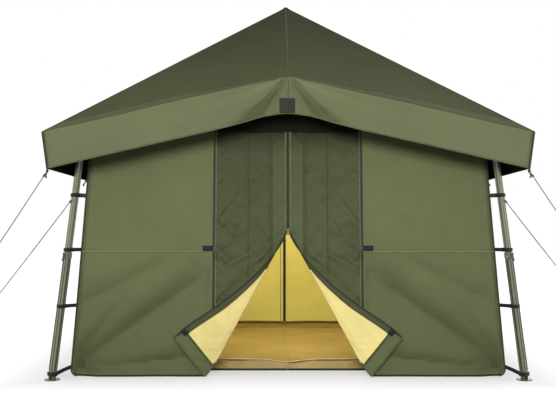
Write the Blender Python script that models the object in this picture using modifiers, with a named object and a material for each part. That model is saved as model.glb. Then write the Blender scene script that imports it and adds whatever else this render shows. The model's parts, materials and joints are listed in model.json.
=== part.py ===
"""A square hub-frame tent: six roof arms on a peak hub, four telescopic legs, canopy, walls, door and floor.

Metres, +Z up, the origin on the ground under the peak, the door on the -Y side.
"""

import math

import bmesh
import bpy
from mathutils import Matrix, Vector

# Half the side at the ground; canopy, feet, floor and guys are placed from it
WALL_HALF = 1.500

# Canopy
PEAK_HEIGHT = 3.05
EAVE_OUT = 0.170
EAVE_HEIGHT = 1.680
EAVE_RISE = 0.380
VALANCE_DROP = 0.250
VALANCE_MIDDLE_DROP = 0.27
VALANCE_ARCH = 0.10
VALANCE_TUCK = 0.028
ROOF_START = 0.05
ROOF_SAG = 0.012
CLOTH = 0.002
SEAM_GAP = 0.0025

# Walls, door and floor
WALL_LEAN = 0.0591
WALL_TOP_GAP = 0.09
HEM_HEIGHT = 0.004
SIDE_WALL_INSET = 0.006
FOLD_DEPTH = 0.011
FOLD_HIGH = 0.85
FOLD_LOW = 0.04
FOLD_BEND = 0.85
FOLD_WIDTH = 0.09
HEM_FOLD_SHARE = 0.6
HEM_FOLD_HIGH = 0.28
HEM_FOLD_LOW = 0.03
HEM_FOLD_WIDTH = 0.06
SIDE_FOLD_DEPTH = 0.0066
SIDE_FOLD_PITCH = 1.2
SIDE_FOLD_HEIGHT = 0.35
SIDE_FOLD_SPREAD = 0.3
DOOR_HALF = 0.520
DOOR_TOP = 1.720
DOOR_FIT = 0.0015
DOOR_CENTRE_GAP = 0.004
SLIDER_HEIGHT = 1.0
FOLD_PAST_ZIP = 0.044
FOLD_RADIUS = 0.008
FLAP_PAST_ZIP = 0.27
FLAP_TIP_HEIGHT = 0.273
FLAP_DIP = 0.143
FLAP_STAND_OFF = 0.015
FLAP_EDGE_BEND = 1.25
FLAP_FALL_BEND = 0.85
FIRST_FOLD_SHARE = 0.96
LEAF_FOOT = 0.015
FLOOR_INSET = 0.120
FLOOR_HEIGHT = 0.006
FLOOR_LIP = 0.083
LIP_LEAN = 0.015
LIP_PINCH = 0.24
LIP_PINCH_WIDTH = 0.12

# Hub and arms
HUB_DROP = 0.100
HUB_PIVOT = 0.085
HUB_RIM = 0.020
HUB_BOTTOM = 0.032
HUB_PIN = 0.003
SLOT_ROOM = 0.002
PIN_BITE = 0.004
ARM_RADIUS = 0.013
ARM_WALL = 0.0015
ARM_TAIL = 0.010
ARM_INSET = 0.045
ARM_UNDER_ROOF = 0.014
CAP_RADIUS = 0.060
CAP_WALL = 0.003
CAP_ROUND = 0.012
CAP_CROWN = 0.0015

# Legs
FOOT_OUT = 0.1015
LEG_LEAN_DEG = 7.25
LEG_SIDE = 0.0362
LEG_WALL = 0.0014
LEG_CORNER = 0.004
LEG_TOP = 0.012
LEG_OVERLAP = 0.12
JOINT_HEIGHT = 0.856
ELBOW_DROP = 0.045
ELBOW_SLEEVE = 0.021
ELBOW_LENGTH = 0.09
ELBOW_PIN = 0.004
CHEEK = 0.005
CHEEK_HALF_LENGTH = 0.018
CHEEK_TAIL = 0.014
ANKLE_HEIGHT = 0.034
ANKLE_TAIL = 0.010
FOOT_RADIUS = 0.0525
FOOT_PLATE = 0.005
FOOT_EAR = 0.015

# Clamp on the joint of each leg
COLLAR_WALL = 0.003
COLLAR_CORNER = 0.007
COLLAR_LENGTH = 0.040
COLLAR_ABOVE = 0.003
LEVER_PIVOT_OUT = 0.006
LEVER_PIVOT_DOWN = 0.008
LEVER_LENGTH = 0.050
LEVER_HALF_WIDTH = 0.0071
LEVER_THICKNESS = 0.005
LEVER_PIN = 0.0022
LEVER_SPLAY_DEG = 5
LEVER_EAR = 0.004
LEVER_EAR_HALF_HEIGHT = 0.006
LEVER_EAR_REACH = 0.005

# Webbing, sliders and guys
STRAP_FOOT_HEIGHT = 0.068
STRAP_LOW_HEIGHT = 0.50
STRAP_HIGH_HEIGHT = 1.26
STRAP_OVER_CLAMP = 0.008
STRAP_WIDTH = 0.025
STRAP_THICKNESS = 0.0025
STRAP_SLACK = 0.003
STRAP_BITE = 0.002
SLIDER_WIDTH = 0.012
SLIDER_DEPTH = 0.008
SLIDER_LENGTH = 0.022
PULL_LENGTH = 0.038
PULL_THICKNESS = 0.002
SIDE_SLIDER_HEIGHT = 0.90
REAR_SLIDER_HEIGHT = 0.95
RING_RADIUS = 0.013
RING_WIRE = 0.0022
GUY_RADIUS = 0.0030
GUY_ANCHOR_OUT = 0.81
LOWER_GUY_ANCHOR_OUT = 0.715
GUY_END_OUT = 0.45
LOWER_GUY_HEIGHT = 1.235
GUY_SAG = 0.004
GUY_STEPS = 6

# Clearances
TOUCH_GAP = 0.0003
SLIDE_GAP = 0.0004
PIN_GAP = 0.0004
CHEEK_GAP = 0.0006

OLIVE_ROOF = (0.082, 0.090, 0.034)
OLIVE_WALL = (0.140, 0.165, 0.075)
OLIVE_DOOR = (0.085, 0.092, 0.042)
GREEN_PAINT = (0.110, 0.125, 0.065)
YELLOW = (0.700, 0.480, 0.130)
BLACK = (0.018, 0.018, 0.018)
STEEL = (0.45, 0.45, 0.43)
ROPE = (0.30, 0.30, 0.28)

CORNERS = {
    "front_left": (-1, -1),
    "front_right": (1, -1),
    "rear_left": (-1, 1),
    "rear_right": (1, 1),
}
MIDDLES = {"front": -1, "rear": 1}

EAVE_HALF = WALL_HALF + EAVE_OUT
FOOT_HALF = WALL_HALF + FOOT_OUT
FLOOR_HALF = WALL_HALF - FLOOR_INSET
GUY_ANCHOR_HALF = WALL_HALF + GUY_ANCHOR_OUT
LOWER_GUY_ANCHOR_HALF = WALL_HALF + LOWER_GUY_ANCHOR_OUT
GUY_END_HALF = WALL_HALF + GUY_END_OUT
FOLD_FOOT = DOOR_HALF + FOLD_PAST_ZIP
FLAP_REACH = DOOR_HALF + FLAP_PAST_ZIP
SIDE_SLOPE = (PEAK_HEIGHT - EAVE_HEIGHT) / EAVE_HALF
MIDDLE_SLOPE = SIDE_SLOPE - EAVE_RISE / EAVE_HALF
HUB_HEIGHT = PEAK_HEIGHT - HUB_DROP
HUB_RADIUS = HUB_PIVOT + HUB_RIM
SLOT_START = HUB_PIVOT - math.hypot(ARM_TAIL, ARM_RADIUS) - SLOT_ROOM
FOOT_REACH = FOOT_HALF * math.sqrt(2)
LEG_LEAN = math.radians(LEG_LEAN_DEG)
LOWER_SIDE = LEG_SIDE + 2 * (SLIDE_GAP + LEG_WALL)
COLLAR_SIDE = LOWER_SIDE + 2 * (SLIDE_GAP + COLLAR_WALL)
STRAP_JOINT_HEIGHT = JOINT_HEIGHT + COLLAR_ABOVE + STRAP_OVER_CLAMP + STRAP_WIDTH / 2
STRAP_HEIGHTS = (STRAP_FOOT_HEIGHT, STRAP_LOW_HEIGHT, STRAP_JOINT_HEIGHT, STRAP_HIGH_HEIGHT)


def start_clean():
    for obj in list(bpy.data.objects):
        bpy.data.objects.remove(obj)
    parts = bpy.data.collections.new("frame_tent")
    cutters = bpy.data.collections.new("cutters")
    cutters.hide_render = True
    bpy.context.scene.collection.children.link(parts)
    bpy.context.scene.collection.children.link(cutters)
    return parts, cutters


PARTS, CUTTERS = start_clean()


def paint(obj, colour, roughness=0.8, metallic=0.0):
    material = bpy.data.materials.new(obj.name)
    material.use_nodes = True
    shader = material.node_tree.nodes["Principled BSDF"]
    shader.inputs["Base Color"].default_value = (*colour, 1.0)
    shader.inputs["Roughness"].default_value = roughness
    shader.inputs["Metallic"].default_value = metallic
    obj.data.materials.clear()
    obj.data.materials.append(material)


def add(name, bm, place, colour=None, roughness=0.8, metallic=0.0):
    """A part from a bmesh, or a cutter where no colour is given."""
    mesh = bpy.data.meshes.new(name)
    bm.to_mesh(mesh)
    bm.free()
    obj = bpy.data.objects.new(name, mesh)
    obj.matrix_world = place
    if colour is None:
        CUTTERS.objects.link(obj)
        obj.hide_render = True
        obj.display_type = "WIRE"
    else:
        PARTS.objects.link(obj)
        paint(obj, colour, roughness, metallic)
    return obj


def combine(obj, tool, operation):
    modifier = obj.modifiers.new(tool.name, "BOOLEAN")
    modifier.operation = operation
    modifier.object = tool
    modifier.solver = "EXACT"


def thicken(obj, thickness):
    modifier = obj.modifiers.new("wall", "SOLIDIFY")
    modifier.thickness = thickness
    modifier.offset = -1
    modifier.use_even_offset = True


def box(low, high):
    bm = bmesh.new()
    size = Vector(high) - Vector(low)
    middle = (Vector(high) + Vector(low)) / 2
    bmesh.ops.create_cube(bm, size=1, matrix=Matrix.Translation(middle) @ Matrix.Diagonal((*size, 1)))
    return bm


def rod(radius, start, end, axis="Z", sides=12):
    """A closed cylinder along an axis, from start to end."""
    bm = bmesh.new()
    turn = {"X": Matrix.Rotation(math.pi / 2, 4, "Y"), "Y": Matrix.Rotation(-math.pi / 2, 4, "X")}
    middle = Matrix.Translation((0, 0, (start + end) / 2))
    bmesh.ops.create_cone(
        bm,
        cap_ends=True,
        segments=sides,
        radius1=radius,
        radius2=radius,
        depth=end - start,
        matrix=turn.get(axis, Matrix()) @ middle,
    )
    return bm


def round_skin(radius, start, end, sides=12):
    """The open outer surface of a round tube along X."""
    bm = bmesh.new()
    matrix = Matrix.Rotation(math.pi / 2, 4, "Y") @ Matrix.Translation((0, 0, (start + end) / 2))
    bmesh.ops.create_cone(
        bm, cap_ends=False, segments=sides, radius1=radius, radius2=radius, depth=end - start, matrix=matrix
    )
    return bm


def square_skin(side, corner, start, end):
    """The open outer surface of a square tube along Z, with rounded corners."""
    bm = bmesh.new()
    radius = side / math.sqrt(2)
    matrix = Matrix.Translation((0, 0, (start + end) / 2)) @ Matrix.Rotation(math.pi / 4, 4, "Z")
    bmesh.ops.create_cone(
        bm, cap_ends=False, segments=4, radius1=radius, radius2=radius, depth=end - start, matrix=matrix
    )
    upright = [e for e in bm.edges if abs(e.verts[0].co.z - e.verts[1].co.z) > (end - start) / 2]
    bmesh.ops.bevel(bm, geom=upright, offset=corner, segments=2, profile=0.5, affect="EDGES", material=-1)
    return bm


def joined(*shapes):
    """Several bmeshes as one, still separate bodies."""
    bm = bmesh.new()
    for shape in shapes:
        mesh = bpy.data.meshes.new("shape")
        shape.to_mesh(mesh)
        shape.free()
        bm.from_mesh(mesh)
        bpy.data.meshes.remove(mesh)
    return bm


def sheet(name, columns, rows, place, colour, keep=None, turned=False):
    """Cloth over a grid: place gives each crossing its point, and keep says which cells are cloth."""
    bm = bmesh.new()
    bmesh.ops.create_grid(bm, x_segments=columns, y_segments=rows, size=0.5)
    index = {v: (round((v.co.x + 0.5) * columns), round((v.co.y + 0.5) * rows)) for v in bm.verts}
    if keep:
        corner = {f: min(index[v] for v in f.verts) for f in bm.faces}
        gone = [f for f, (i, j) in corner.items() if not keep(i, j)]
        bmesh.ops.delete(bm, geom=gone, context="FACES")
    for vert in bm.verts:
        vert.co = place(*index[vert])
    bmesh.ops.remove_doubles(bm, verts=bm.verts, dist=1e-5)
    if turned:
        bmesh.ops.reverse_faces(bm, faces=bm.faces)
    obj = add(name, bm, Matrix(), colour)
    thicken(obj, CLOTH)
    return obj


def mix(a, b, share):
    return a + (b - a) * share


def roof_height(x, y):
    """The canopy's outer surface: straight hips over the corners, and raised front and rear middles."""
    x, y = abs(x), abs(y)
    if x >= y:
        return PEAK_HEIGHT - SIDE_SLOPE * x
    return PEAK_HEIGHT - MIDDLE_SLOPE * y - (SIDE_SLOPE - MIDDLE_SLOPE) * x


def wall_half(z):
    return WALL_HALF - WALL_LEAN * z


def hem_height(x, raised):
    """The valance's lower edge, which arches over the door on the raised sides."""
    low = EAVE_HEIGHT - VALANCE_DROP
    if not raised:
        return low
    top = EAVE_HEIGHT + EAVE_RISE - VALANCE_MIDDLE_DROP
    reach = EAVE_HALF - VALANCE_TUCK
    full = math.hypot(reach, VALANCE_ARCH) - VALANCE_ARCH
    return top - (top - low) * (math.hypot(x, VALANCE_ARCH) - VALANCE_ARCH) / full


def roof_panel(name, turn, raised):
    """One quarter of the canopy with its valance, built on the -Y side and turned into place."""
    across, down, hang = 12, 6, 2

    def place(i, j):
        share = 2 * i / across - 1
        if j <= down:
            out = mix(ROOF_START, EAVE_HALF, j / down)
            x = share * (out - SEAM_GAP)
            z = PEAK_HEIGHT - SIDE_SLOPE * out
            if raised:
                z += (SIDE_SLOPE - MIDDLE_SLOPE) * (out - abs(x))
            bay = math.sin(math.pi * abs(share)) if raised else math.cos(math.pi * share / 2)
            z -= ROOF_SAG * bay * math.sin(math.pi * (out - ROOF_START) / (EAVE_HALF - ROOF_START))
            return Matrix.Rotation(turn, 3, "Z") @ Vector((x, -out, z))
        fall = (j - down) / hang
        out = EAVE_HALF - VALANCE_TUCK * fall
        x = share * (out - SEAM_GAP)
        top = EAVE_HEIGHT + (EAVE_RISE * (1 - abs(share)) if raised else 0)
        return Matrix.Rotation(turn, 3, "Z") @ Vector((x, -out, mix(top, hem_height(x, raised), fall)))

    return sheet(name, across, down + hang, place, OLIVE_ROOF, turned=True)


def drape(x, z):
    """How far a wall stands in, from the folds that run from the door's side down to the corner."""
    share = (abs(x) - DOOR_HALF) / (WALL_HALF - DOOR_HALF)
    if not 0 < share < 1:
        return 0.0
    ridge = FOLD_LOW + (FOLD_HIGH - FOLD_LOW) * (1 - share) ** FOLD_BEND
    second = mix(HEM_FOLD_HIGH, HEM_FOLD_LOW, share)
    fall = math.exp(-(((z - ridge) / FOLD_WIDTH) ** 2))
    fall += HEM_FOLD_SHARE * math.exp(-(((z - second) / HEM_FOLD_WIDTH) ** 2))
    return FOLD_DEPTH * fall * math.sin(math.pi * share)


def end_wall_top(x, z):
    return roof_height(x, wall_half(z)) - WALL_TOP_GAP


def end_wall(name, sign, opening):
    """The front or rear wall, with the door opening if it has one."""
    inner, outer, door_rows, top_rows = 3, 7, 9, 2
    columns = 2 * (inner + outer)

    def place(i, j):
        k = i - inner - outer
        side = 1 if k > 0 else -1
        z = mix(HEM_HEIGHT, DOOR_TOP, min(j, door_rows) / door_rows)
        for _ in range(3):
            edge = wall_half(z)
            if abs(k) <= inner:
                x = side * DOOR_HALF * abs(k) / inner
            else:
                x = side * mix(DOOR_HALF, edge, (abs(k) - inner) / outer)
            if j > door_rows:
                z = mix(DOOR_TOP, end_wall_top(x, z), (j - door_rows) / top_rows)
        return Vector((x, sign * (wall_half(z) - drape(x, z)), z))

    def keep(i, j):
        return not opening or j >= door_rows or not outer <= i < outer + 2 * inner

    return sheet(name, columns, door_rows + top_rows, place, OLIVE_WALL, keep, turned=sign > 0)


def side_wall(name, sign):
    columns, rows = 12, 9

    def place(i, j):
        z = mix(HEM_HEIGHT, end_wall_top(wall_half(DOOR_TOP), DOOR_TOP), j / rows)
        reach = wall_half(z) - SIDE_WALL_INSET
        y = mix(-reach, reach, i / columns)
        fall = math.exp(-(((z - SIDE_FOLD_HEIGHT) / SIDE_FOLD_SPREAD) ** 2))
        wave = SIDE_FOLD_DEPTH * fall * abs(math.sin(2 * math.pi * y / SIDE_FOLD_PITCH))
        ends = math.cos(math.pi * y / (2 * reach))
        return Vector((sign * (wall_half(z) - wave * ends), y, z))

    return sheet(name, columns, rows, place, OLIVE_WALL, turned=sign < 0)


def corner_place(corner):
    x, y = CORNERS[corner]
    return Matrix.Rotation(math.atan2(y, x), 4, "Z")


def leg_reach(z):
    """How far the leg's axis stands from the middle, along the diagonal."""
    return FOOT_REACH - math.tan(LEG_LEAN) * z


def strap(height):
    """A webbing loop round the leg with its tongue to the wall's edge, in the corner's own frame."""
    side = LEG_SIDE if height > JOINT_HEIGHT else LOWER_SIDE
    hole = side / 2 + STRAP_SLACK
    out = hole + STRAP_THICKNESS
    leg = leg_reach(height)
    wall = math.sqrt(2) * wall_half(height) - STRAP_BITE
    half = STRAP_THICKNESS / 2
    curve = bpy.data.curves.new("strap", "CURVE")
    curve.dimensions = "2D"
    curve.fill_mode = "BOTH"
    curve.extrude = STRAP_WIDTH / 2
    outline = [
        (wall, -half),
        (leg - out, -half),
        (leg - out, -out),
        (leg + out, -out),
        (leg + out, out),
        (leg - out, out),
        (leg - out, half),
        (wall, half),
    ]
    inside = [(leg - hole, -hole), (leg + hole, -hole), (leg + hole, hole), (leg - hole, hole)]
    for points in (outline, inside):
        spline = curve.splines.new("POLY")
        spline.points.add(len(points) - 1)
        for point, (x, y) in zip(spline.points, points):
            point.co = (x, y, 0, 1)
        spline.use_cyclic_u = True
    obj = bpy.data.objects.new("strap", curve)
    CUTTERS.objects.link(obj)
    bpy.context.view_layer.update()
    mesh = bpy.data.meshes.new_from_object(obj.evaluated_get(bpy.context.evaluated_depsgraph_get()))
    bpy.data.objects.remove(obj)
    bm = bmesh.new()
    bm.from_mesh(mesh)
    bpy.data.meshes.remove(mesh)
    bmesh.ops.remove_doubles(bm, verts=bm.verts, dist=1e-6)
    bmesh.ops.translate(bm, verts=bm.verts, vec=(0, 0, height))
    return bm


def sew_straps(wall, sign):
    """The eight webbing loops of one end wall, four at each of its corners."""
    for corner, (x, y) in CORNERS.items():
        if y != sign:
            continue
        tool = add(f"straps_{corner}", joined(*(strap(h) for h in STRAP_HEIGHTS)), corner_place(corner))
        combine(wall, tool, "UNION")


def door_leaf(name, sign):
    """One door leaf, with its lower inner corner folded outwards over itself."""
    across, bend, flap, above, below = 5, 3, 4, 4, 7
    columns = across + bend + flap
    first = FIRST_FOLD_SHARE * SLIDER_HEIGHT
    inner = DOOR_CENTRE_GAP
    outer = DOOR_HALF - DOOR_FIT
    top = DOOR_TOP - DOOR_FIT
    run = Vector((FOLD_FOOT - inner, -SLIDER_HEIGHT))
    away = Vector((-run.y, run.x)).normalized() * -1
    last = SLIDER_HEIGHT * (1 - (outer - LEAF_FOOT - inner) / (FOLD_FOOT - inner))

    def place(i, j):
        drop = max(j - above, 0) / below
        z = mix(top, first, j / above) if j <= above else mix(first, last, drop)
        edge = inner if j < above else inner + (FOLD_FOOT - inner) * (1 - z / SLIDER_HEIGHT)
        if i <= across:
            return Vector((sign * mix(outer, edge, i / across), -wall_half(z), z))
        if i <= across + bend:
            turn = math.pi * (i - across) / bend
            x = edge + away.x * FOLD_RADIUS * math.sin(turn)
            z += away.y * FOLD_RADIUS * math.sin(turn)
            return Vector((sign * x, -wall_half(z) - FOLD_RADIUS * (1 - math.cos(turn)), z))
        share = (i - across - bend) / flap
        along = 1 - (z - last) / (SLIDER_HEIGHT - last)
        tip_x = mix(inner, FLAP_REACH, along**FLAP_EDGE_BEND)
        tip_z = mix(SLIDER_HEIGHT, FLAP_TIP_HEIGHT, along**FLAP_FALL_BEND)
        x = mix(edge, tip_x, share)
        z = mix(z, tip_z, share) - FLAP_DIP * along**4 * math.sin(math.pi * math.sqrt(share))
        return Vector((sign * x, -wall_half(z) - 2 * FOLD_RADIUS - FLAP_STAND_OFF * share, z))

    def keep(i, j):
        return i < across or j >= above

    return sheet(name, columns, above + below, place, OLIVE_DOOR, keep, turned=sign < 0)


def floor_half(name, sign):
    """Half of the ground sheet, with a lip raised along its three outer edges."""
    across, along = 6, 12

    def place(i, j):
        x = DOOR_FIT if i == across else mix(FLOOR_HALF, 0, max(i - 1, 0) / (across - 1))
        y = mix(-FLOOR_HALF, FLOOR_HALF, min(max(j - 1, 0), along - 2) / (along - 2))
        end, side = j in (0, along), i == 0
        if not end and not side:
            return Vector((sign * x, y, FLOOR_HEIGHT))
        if side or (end and i == 1):
            x -= LIP_LEAN
        if end or (side and j in (1, along - 1)):
            y -= math.copysign(LIP_LEAN, y)
        pinch = LIP_PINCH * math.exp(-((x / LIP_PINCH_WIDTH) ** 2))
        return Vector((sign * x, y, FLOOR_LIP * (1 - pinch)))

    return sheet(name, across, along, place, YELLOW, turned=sign > 0)


def arm_line(reach, slope):
    """Where a roof arm runs: its slope below level and its length, from the hub pivot."""
    out = reach - ARM_INSET
    under = (ARM_RADIUS + CLOTH + ARM_UNDER_ROOF) / math.cos(math.atan(slope))
    tip = PEAK_HEIGHT - slope * out - under
    run, fall = out - HUB_PIVOT, HUB_HEIGHT - tip
    return math.atan2(fall, run), math.hypot(run, fall)


CORNER_SLOPE, CORNER_ARM = arm_line(EAVE_HALF * math.sqrt(2), SIDE_SLOPE / math.sqrt(2))
MIDDLE_ARM_SLOPE, MIDDLE_ARM = arm_line(EAVE_HALF, MIDDLE_SLOPE)


def elbow_along():
    """How far along a corner arm the leg's pivot hangs, so that it lies on the leg's own line."""
    lean = math.tan(LEG_LEAN)
    sine, cosine = math.sin(CORNER_SLOPE), math.cos(CORNER_SLOPE)
    start = HUB_PIVOT - ELBOW_DROP * sine + lean * (HUB_HEIGHT - ELBOW_DROP * cosine)
    return (FOOT_REACH - start) / (cosine - lean * sine)


ELBOW_ALONG = elbow_along()
ELBOW_Z = HUB_HEIGHT - ELBOW_DROP * math.cos(CORNER_SLOPE) - ELBOW_ALONG * math.sin(CORNER_SLOPE)
LEG_LENGTH = (ELBOW_Z - ANKLE_HEIGHT) / math.cos(LEG_LEAN)
JOINT_ALONG = (ELBOW_Z - JOINT_HEIGHT) / math.cos(LEG_LEAN)


def arm_place(turn, slope):
    return turn @ Matrix.Translation((HUB_PIVOT, 0, HUB_HEIGHT)) @ Matrix.Rotation(slope, 4, "Y")


def leg_place(corner):
    pivot = Matrix.Translation((leg_reach(ELBOW_Z), 0, ELBOW_Z))
    return corner_place(corner) @ pivot @ Matrix.Rotation(-LEG_LEAN, 4, "Y")


def arm_turns():
    """Each arm's name, its direction about the peak, its slope and its length."""
    arms = [(f"arm_{c}", corner_place(c), CORNER_SLOPE, CORNER_ARM) for c in CORNERS]
    for middle, sign in MIDDLES.items():
        turn = Matrix.Rotation(sign * math.pi / 2, 4, "Z")
        arms.append((f"arm_{middle}_middle", turn, MIDDLE_ARM_SLOPE, MIDDLE_ARM))
    return arms


def hub_crown():
    """The hub under the peak: a turned cone with six slots, and a pin across each slot."""
    bottom = HUB_HEIGHT - HUB_BOTTOM
    rim = PEAK_HEIGHT - CLOTH - SEAM_GAP - SIDE_SLOPE * HUB_RADIUS
    tip = PEAK_HEIGHT - CLOTH - SEAM_GAP - SIDE_SLOPE * SLOT_START
    profile = [(0, tip), (SLOT_START, tip), (HUB_RADIUS, rim), (HUB_RADIUS, bottom), (0, bottom)]
    bm = bmesh.new()
    verts = [bm.verts.new((x, 0, z)) for x, z in profile]
    for a, b in zip(verts, verts[1:]):
        bm.edges.new((a, b))
    crown = add("hub_crown", bm, Matrix(), STEEL, 0.5, 0.6)
    screw = crown.modifiers.new("turn", "SCREW")
    screw.steps = 24
    screw.render_steps = 24
    screw.use_merge_vertices = True
    screw.merge_threshold = 0.0001
    slot = ARM_RADIUS + 2 * SLIDE_GAP
    for name, turn, _, _ in arm_turns():
        shape = box((SLOT_START, -slot, bottom - HUB_BOTTOM), (2 * HUB_RADIUS, slot, PEAK_HEIGHT))
        combine(crown, add(f"slot_{name}", shape, turn), "DIFFERENCE")
    for name, turn, _, _ in arm_turns():
        place = turn @ Matrix.Translation((HUB_PIVOT, 0, HUB_HEIGHT))
        pin = add(f"hub_pin_{name}", rod(HUB_PIN, -slot - PIN_BITE, slot + PIN_BITE, "Y", 8), place)
        combine(crown, pin, "UNION")
    return crown


def peak_cap():
    """The cloth cap over the peak, where the four canopy panels meet."""
    base = PEAK_HEIGHT - MIDDLE_SLOPE * CAP_RADIUS
    top = PEAK_HEIGHT + CAP_WALL
    profile = [
        (0, top),
        (CAP_ROUND / 2, top - CAP_CROWN),
        (CAP_ROUND, top - MIDDLE_SLOPE * CAP_ROUND),
        (CAP_RADIUS, base + CAP_WALL),
        (CAP_RADIUS, base + 2 * TOUCH_GAP),
        (0, PEAK_HEIGHT + TOUCH_GAP),
    ]
    bm = bmesh.new()
    verts = [bm.verts.new((x, 0, z)) for x, z in profile]
    for a, b in zip(verts, verts[1:]):
        bm.edges.new((a, b))
    cap = add("peak_cap", bm, Matrix(), OLIVE_ROOF)
    screw = cap.modifiers.new("turn", "SCREW")
    screw.steps = 16
    screw.render_steps = 16
    screw.use_merge_vertices = True
    screw.merge_threshold = 0.0001
    return cap


def roof_arm(name, turn, slope, length):
    place = arm_place(turn, slope)
    arm = add(name, round_skin(ARM_RADIUS, -ARM_TAIL, length), place, GREEN_PAINT, 0.45, 0.3)
    thicken(arm, ARM_WALL)
    bore = add(f"bore_{name}", rod(HUB_PIN + PIN_GAP, -2 * ARM_RADIUS, 2 * ARM_RADIUS, "Y", 8), place)
    combine(arm, bore, "DIFFERENCE")
    return arm


def elbow_bracket(corner):
    """A sleeve round the corner arm, with two cheeks below it that hold the leg on a rivet."""
    place = arm_place(corner_place(corner), CORNER_SLOPE) @ Matrix.Translation((ELBOW_ALONG, 0, 0))
    half = ELBOW_LENGTH / 2
    sleeve = add(f"elbow_{corner}", round_skin(ELBOW_SLEEVE, -half, half), place, BLACK, 0.5)
    thicken(sleeve, ELBOW_SLEEVE - ARM_RADIUS - SLIDE_GAP)
    inside = LEG_SIDE / 2 + CHEEK_GAP
    low = -ELBOW_DROP - CHEEK_TAIL
    for side in (-1, 1):
        a, b = sorted((side * inside, side * (inside + CHEEK)))
        high = -ARM_RADIUS / 2
        cheek = box((-CHEEK_HALF_LENGTH, a, low), (CHEEK_HALF_LENGTH, b, high))
        combine(sleeve, add(f"cheek_{corner}_{side}", cheek, place), "UNION")
    pin = rod(ELBOW_PIN, -inside - CHEEK, inside + CHEEK, "Y", 12)
    bmesh.ops.translate(pin, verts=pin.verts, vec=(0, 0, -ELBOW_DROP))
    combine(sleeve, add(f"rivet_{corner}", pin, place), "UNION")
    return sleeve


def leg_tubes(corner):
    """The upper and lower leg tubes: the upper slides in the lower, and both turn on their pins."""
    place = leg_place(corner)
    start = -JOINT_ALONG - LEG_OVERLAP
    skin = square_skin(LEG_SIDE, LEG_CORNER, start, LEG_TOP)
    upper = add(f"leg_upper_{corner}", skin, place, GREEN_PAINT, 0.4, 0.3)
    thicken(upper, LEG_WALL)
    bore = rod(ELBOW_PIN + PIN_GAP, -LOWER_SIDE, LOWER_SIDE, "Y", 12)
    combine(upper, add(f"elbow_bore_{corner}", bore, place), "DIFFERENCE")
    bottom = -LEG_LENGTH - ANKLE_TAIL
    skin = square_skin(LOWER_SIDE, LEG_CORNER, bottom, -JOINT_ALONG)
    lower = add(f"leg_lower_{corner}", skin, place, GREEN_PAINT, 0.4, 0.3)
    thicken(lower, LEG_WALL)
    bore = rod(ELBOW_PIN + PIN_GAP, -LOWER_SIDE, LOWER_SIDE, "Y", 12)
    bmesh.ops.translate(bore, verts=bore.verts, vec=(0, 0, -LEG_LENGTH))
    combine(lower, add(f"ankle_bore_{corner}", bore, place), "DIFFERENCE")


def lever_pivot():
    return COLLAR_SIDE / 2 + LEVER_PIVOT_OUT, -JOINT_ALONG - LEVER_PIVOT_DOWN


def clamp(corner):
    """The collar at the top of the lower tube, and the cam lever that tightens it."""
    place = leg_place(corner)
    high = -JOINT_ALONG + COLLAR_ABOVE
    skin = square_skin(COLLAR_SIDE, COLLAR_CORNER, high - COLLAR_LENGTH, high)
    collar = add(f"clamp_collar_{corner}", skin, place, BLACK, 0.5)
    thicken(collar, COLLAR_WALL)
    out, up = lever_pivot()
    ear = LEVER_HALF_WIDTH + SLIDE_GAP
    for side in (-1, 1):
        a, b = sorted((side * ear, side * (ear + LEVER_EAR)))
        low = (COLLAR_SIDE / 2 - COLLAR_WALL / 2, a, up - LEVER_EAR_HALF_HEIGHT)
        shape = box(low, (out + LEVER_EAR_REACH, b, up + LEVER_EAR_HALF_HEIGHT))
        combine(collar, add(f"lever_ear_{corner}_{side}", shape, place), "UNION")
    pin = rod(LEVER_PIN, -ear - LEVER_EAR / 2, ear + LEVER_EAR / 2, "Y", 8)
    bmesh.ops.translate(pin, verts=pin.verts, vec=(out, 0, up))
    combine(collar, add(f"lever_pin_{corner}", pin, place), "UNION")

    splay = Matrix.Rotation(-math.radians(LEVER_SPLAY_DEG), 4, "Y")
    hinge = place @ Matrix.Translation((out, 0, up)) @ splay
    half = LEVER_THICKNESS / 2
    barrel = rod(LEVER_THICKNESS, -LEVER_HALF_WIDTH, LEVER_HALF_WIDTH, "Y", 12)
    lever = add(f"clamp_lever_{corner}", barrel, hinge, BLACK, 0.45)
    plate = box((-half, -LEVER_HALF_WIDTH, -LEVER_LENGTH), (half, LEVER_HALF_WIDTH, 0))
    combine(lever, add(f"lever_plate_{corner}", plate, hinge), "UNION")
    bore = rod(LEVER_PIN + PIN_GAP, -2 * LEVER_HALF_WIDTH, 2 * LEVER_HALF_WIDTH, "Y", 8)
    combine(lever, add(f"lever_bore_{corner}", bore, hinge), "DIFFERENCE")


def foot(corner):
    """The round foot plate, with two ears that hold the leg's end on a pin."""
    place = corner_place(corner) @ Matrix.Translation((leg_reach(ANKLE_HEIGHT), 0, ANKLE_HEIGHT))
    plate = rod(FOOT_RADIUS, -ANKLE_HEIGHT, FOOT_PLATE - ANKLE_HEIGHT, "Z", 24)
    obj = add(f"foot_{corner}", plate, place, GREEN_PAINT, 0.5, 0.3)
    inside = LOWER_SIDE / 2 + CHEEK_GAP
    for side in (-1, 1):
        a, b = sorted((side * inside, side * (inside + CHEEK)))
        ear = box((-FOOT_EAR, a, FOOT_PLATE / 2 - ANKLE_HEIGHT), (FOOT_EAR, b, ANKLE_TAIL))
        combine(obj, add(f"foot_ear_{corner}_{side}", ear, place), "UNION")
    pin = rod(ELBOW_PIN, -inside - CHEEK, inside + CHEEK, "Y", 12)
    combine(obj, add(f"ankle_pin_{corner}", pin, place), "UNION")


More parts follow.
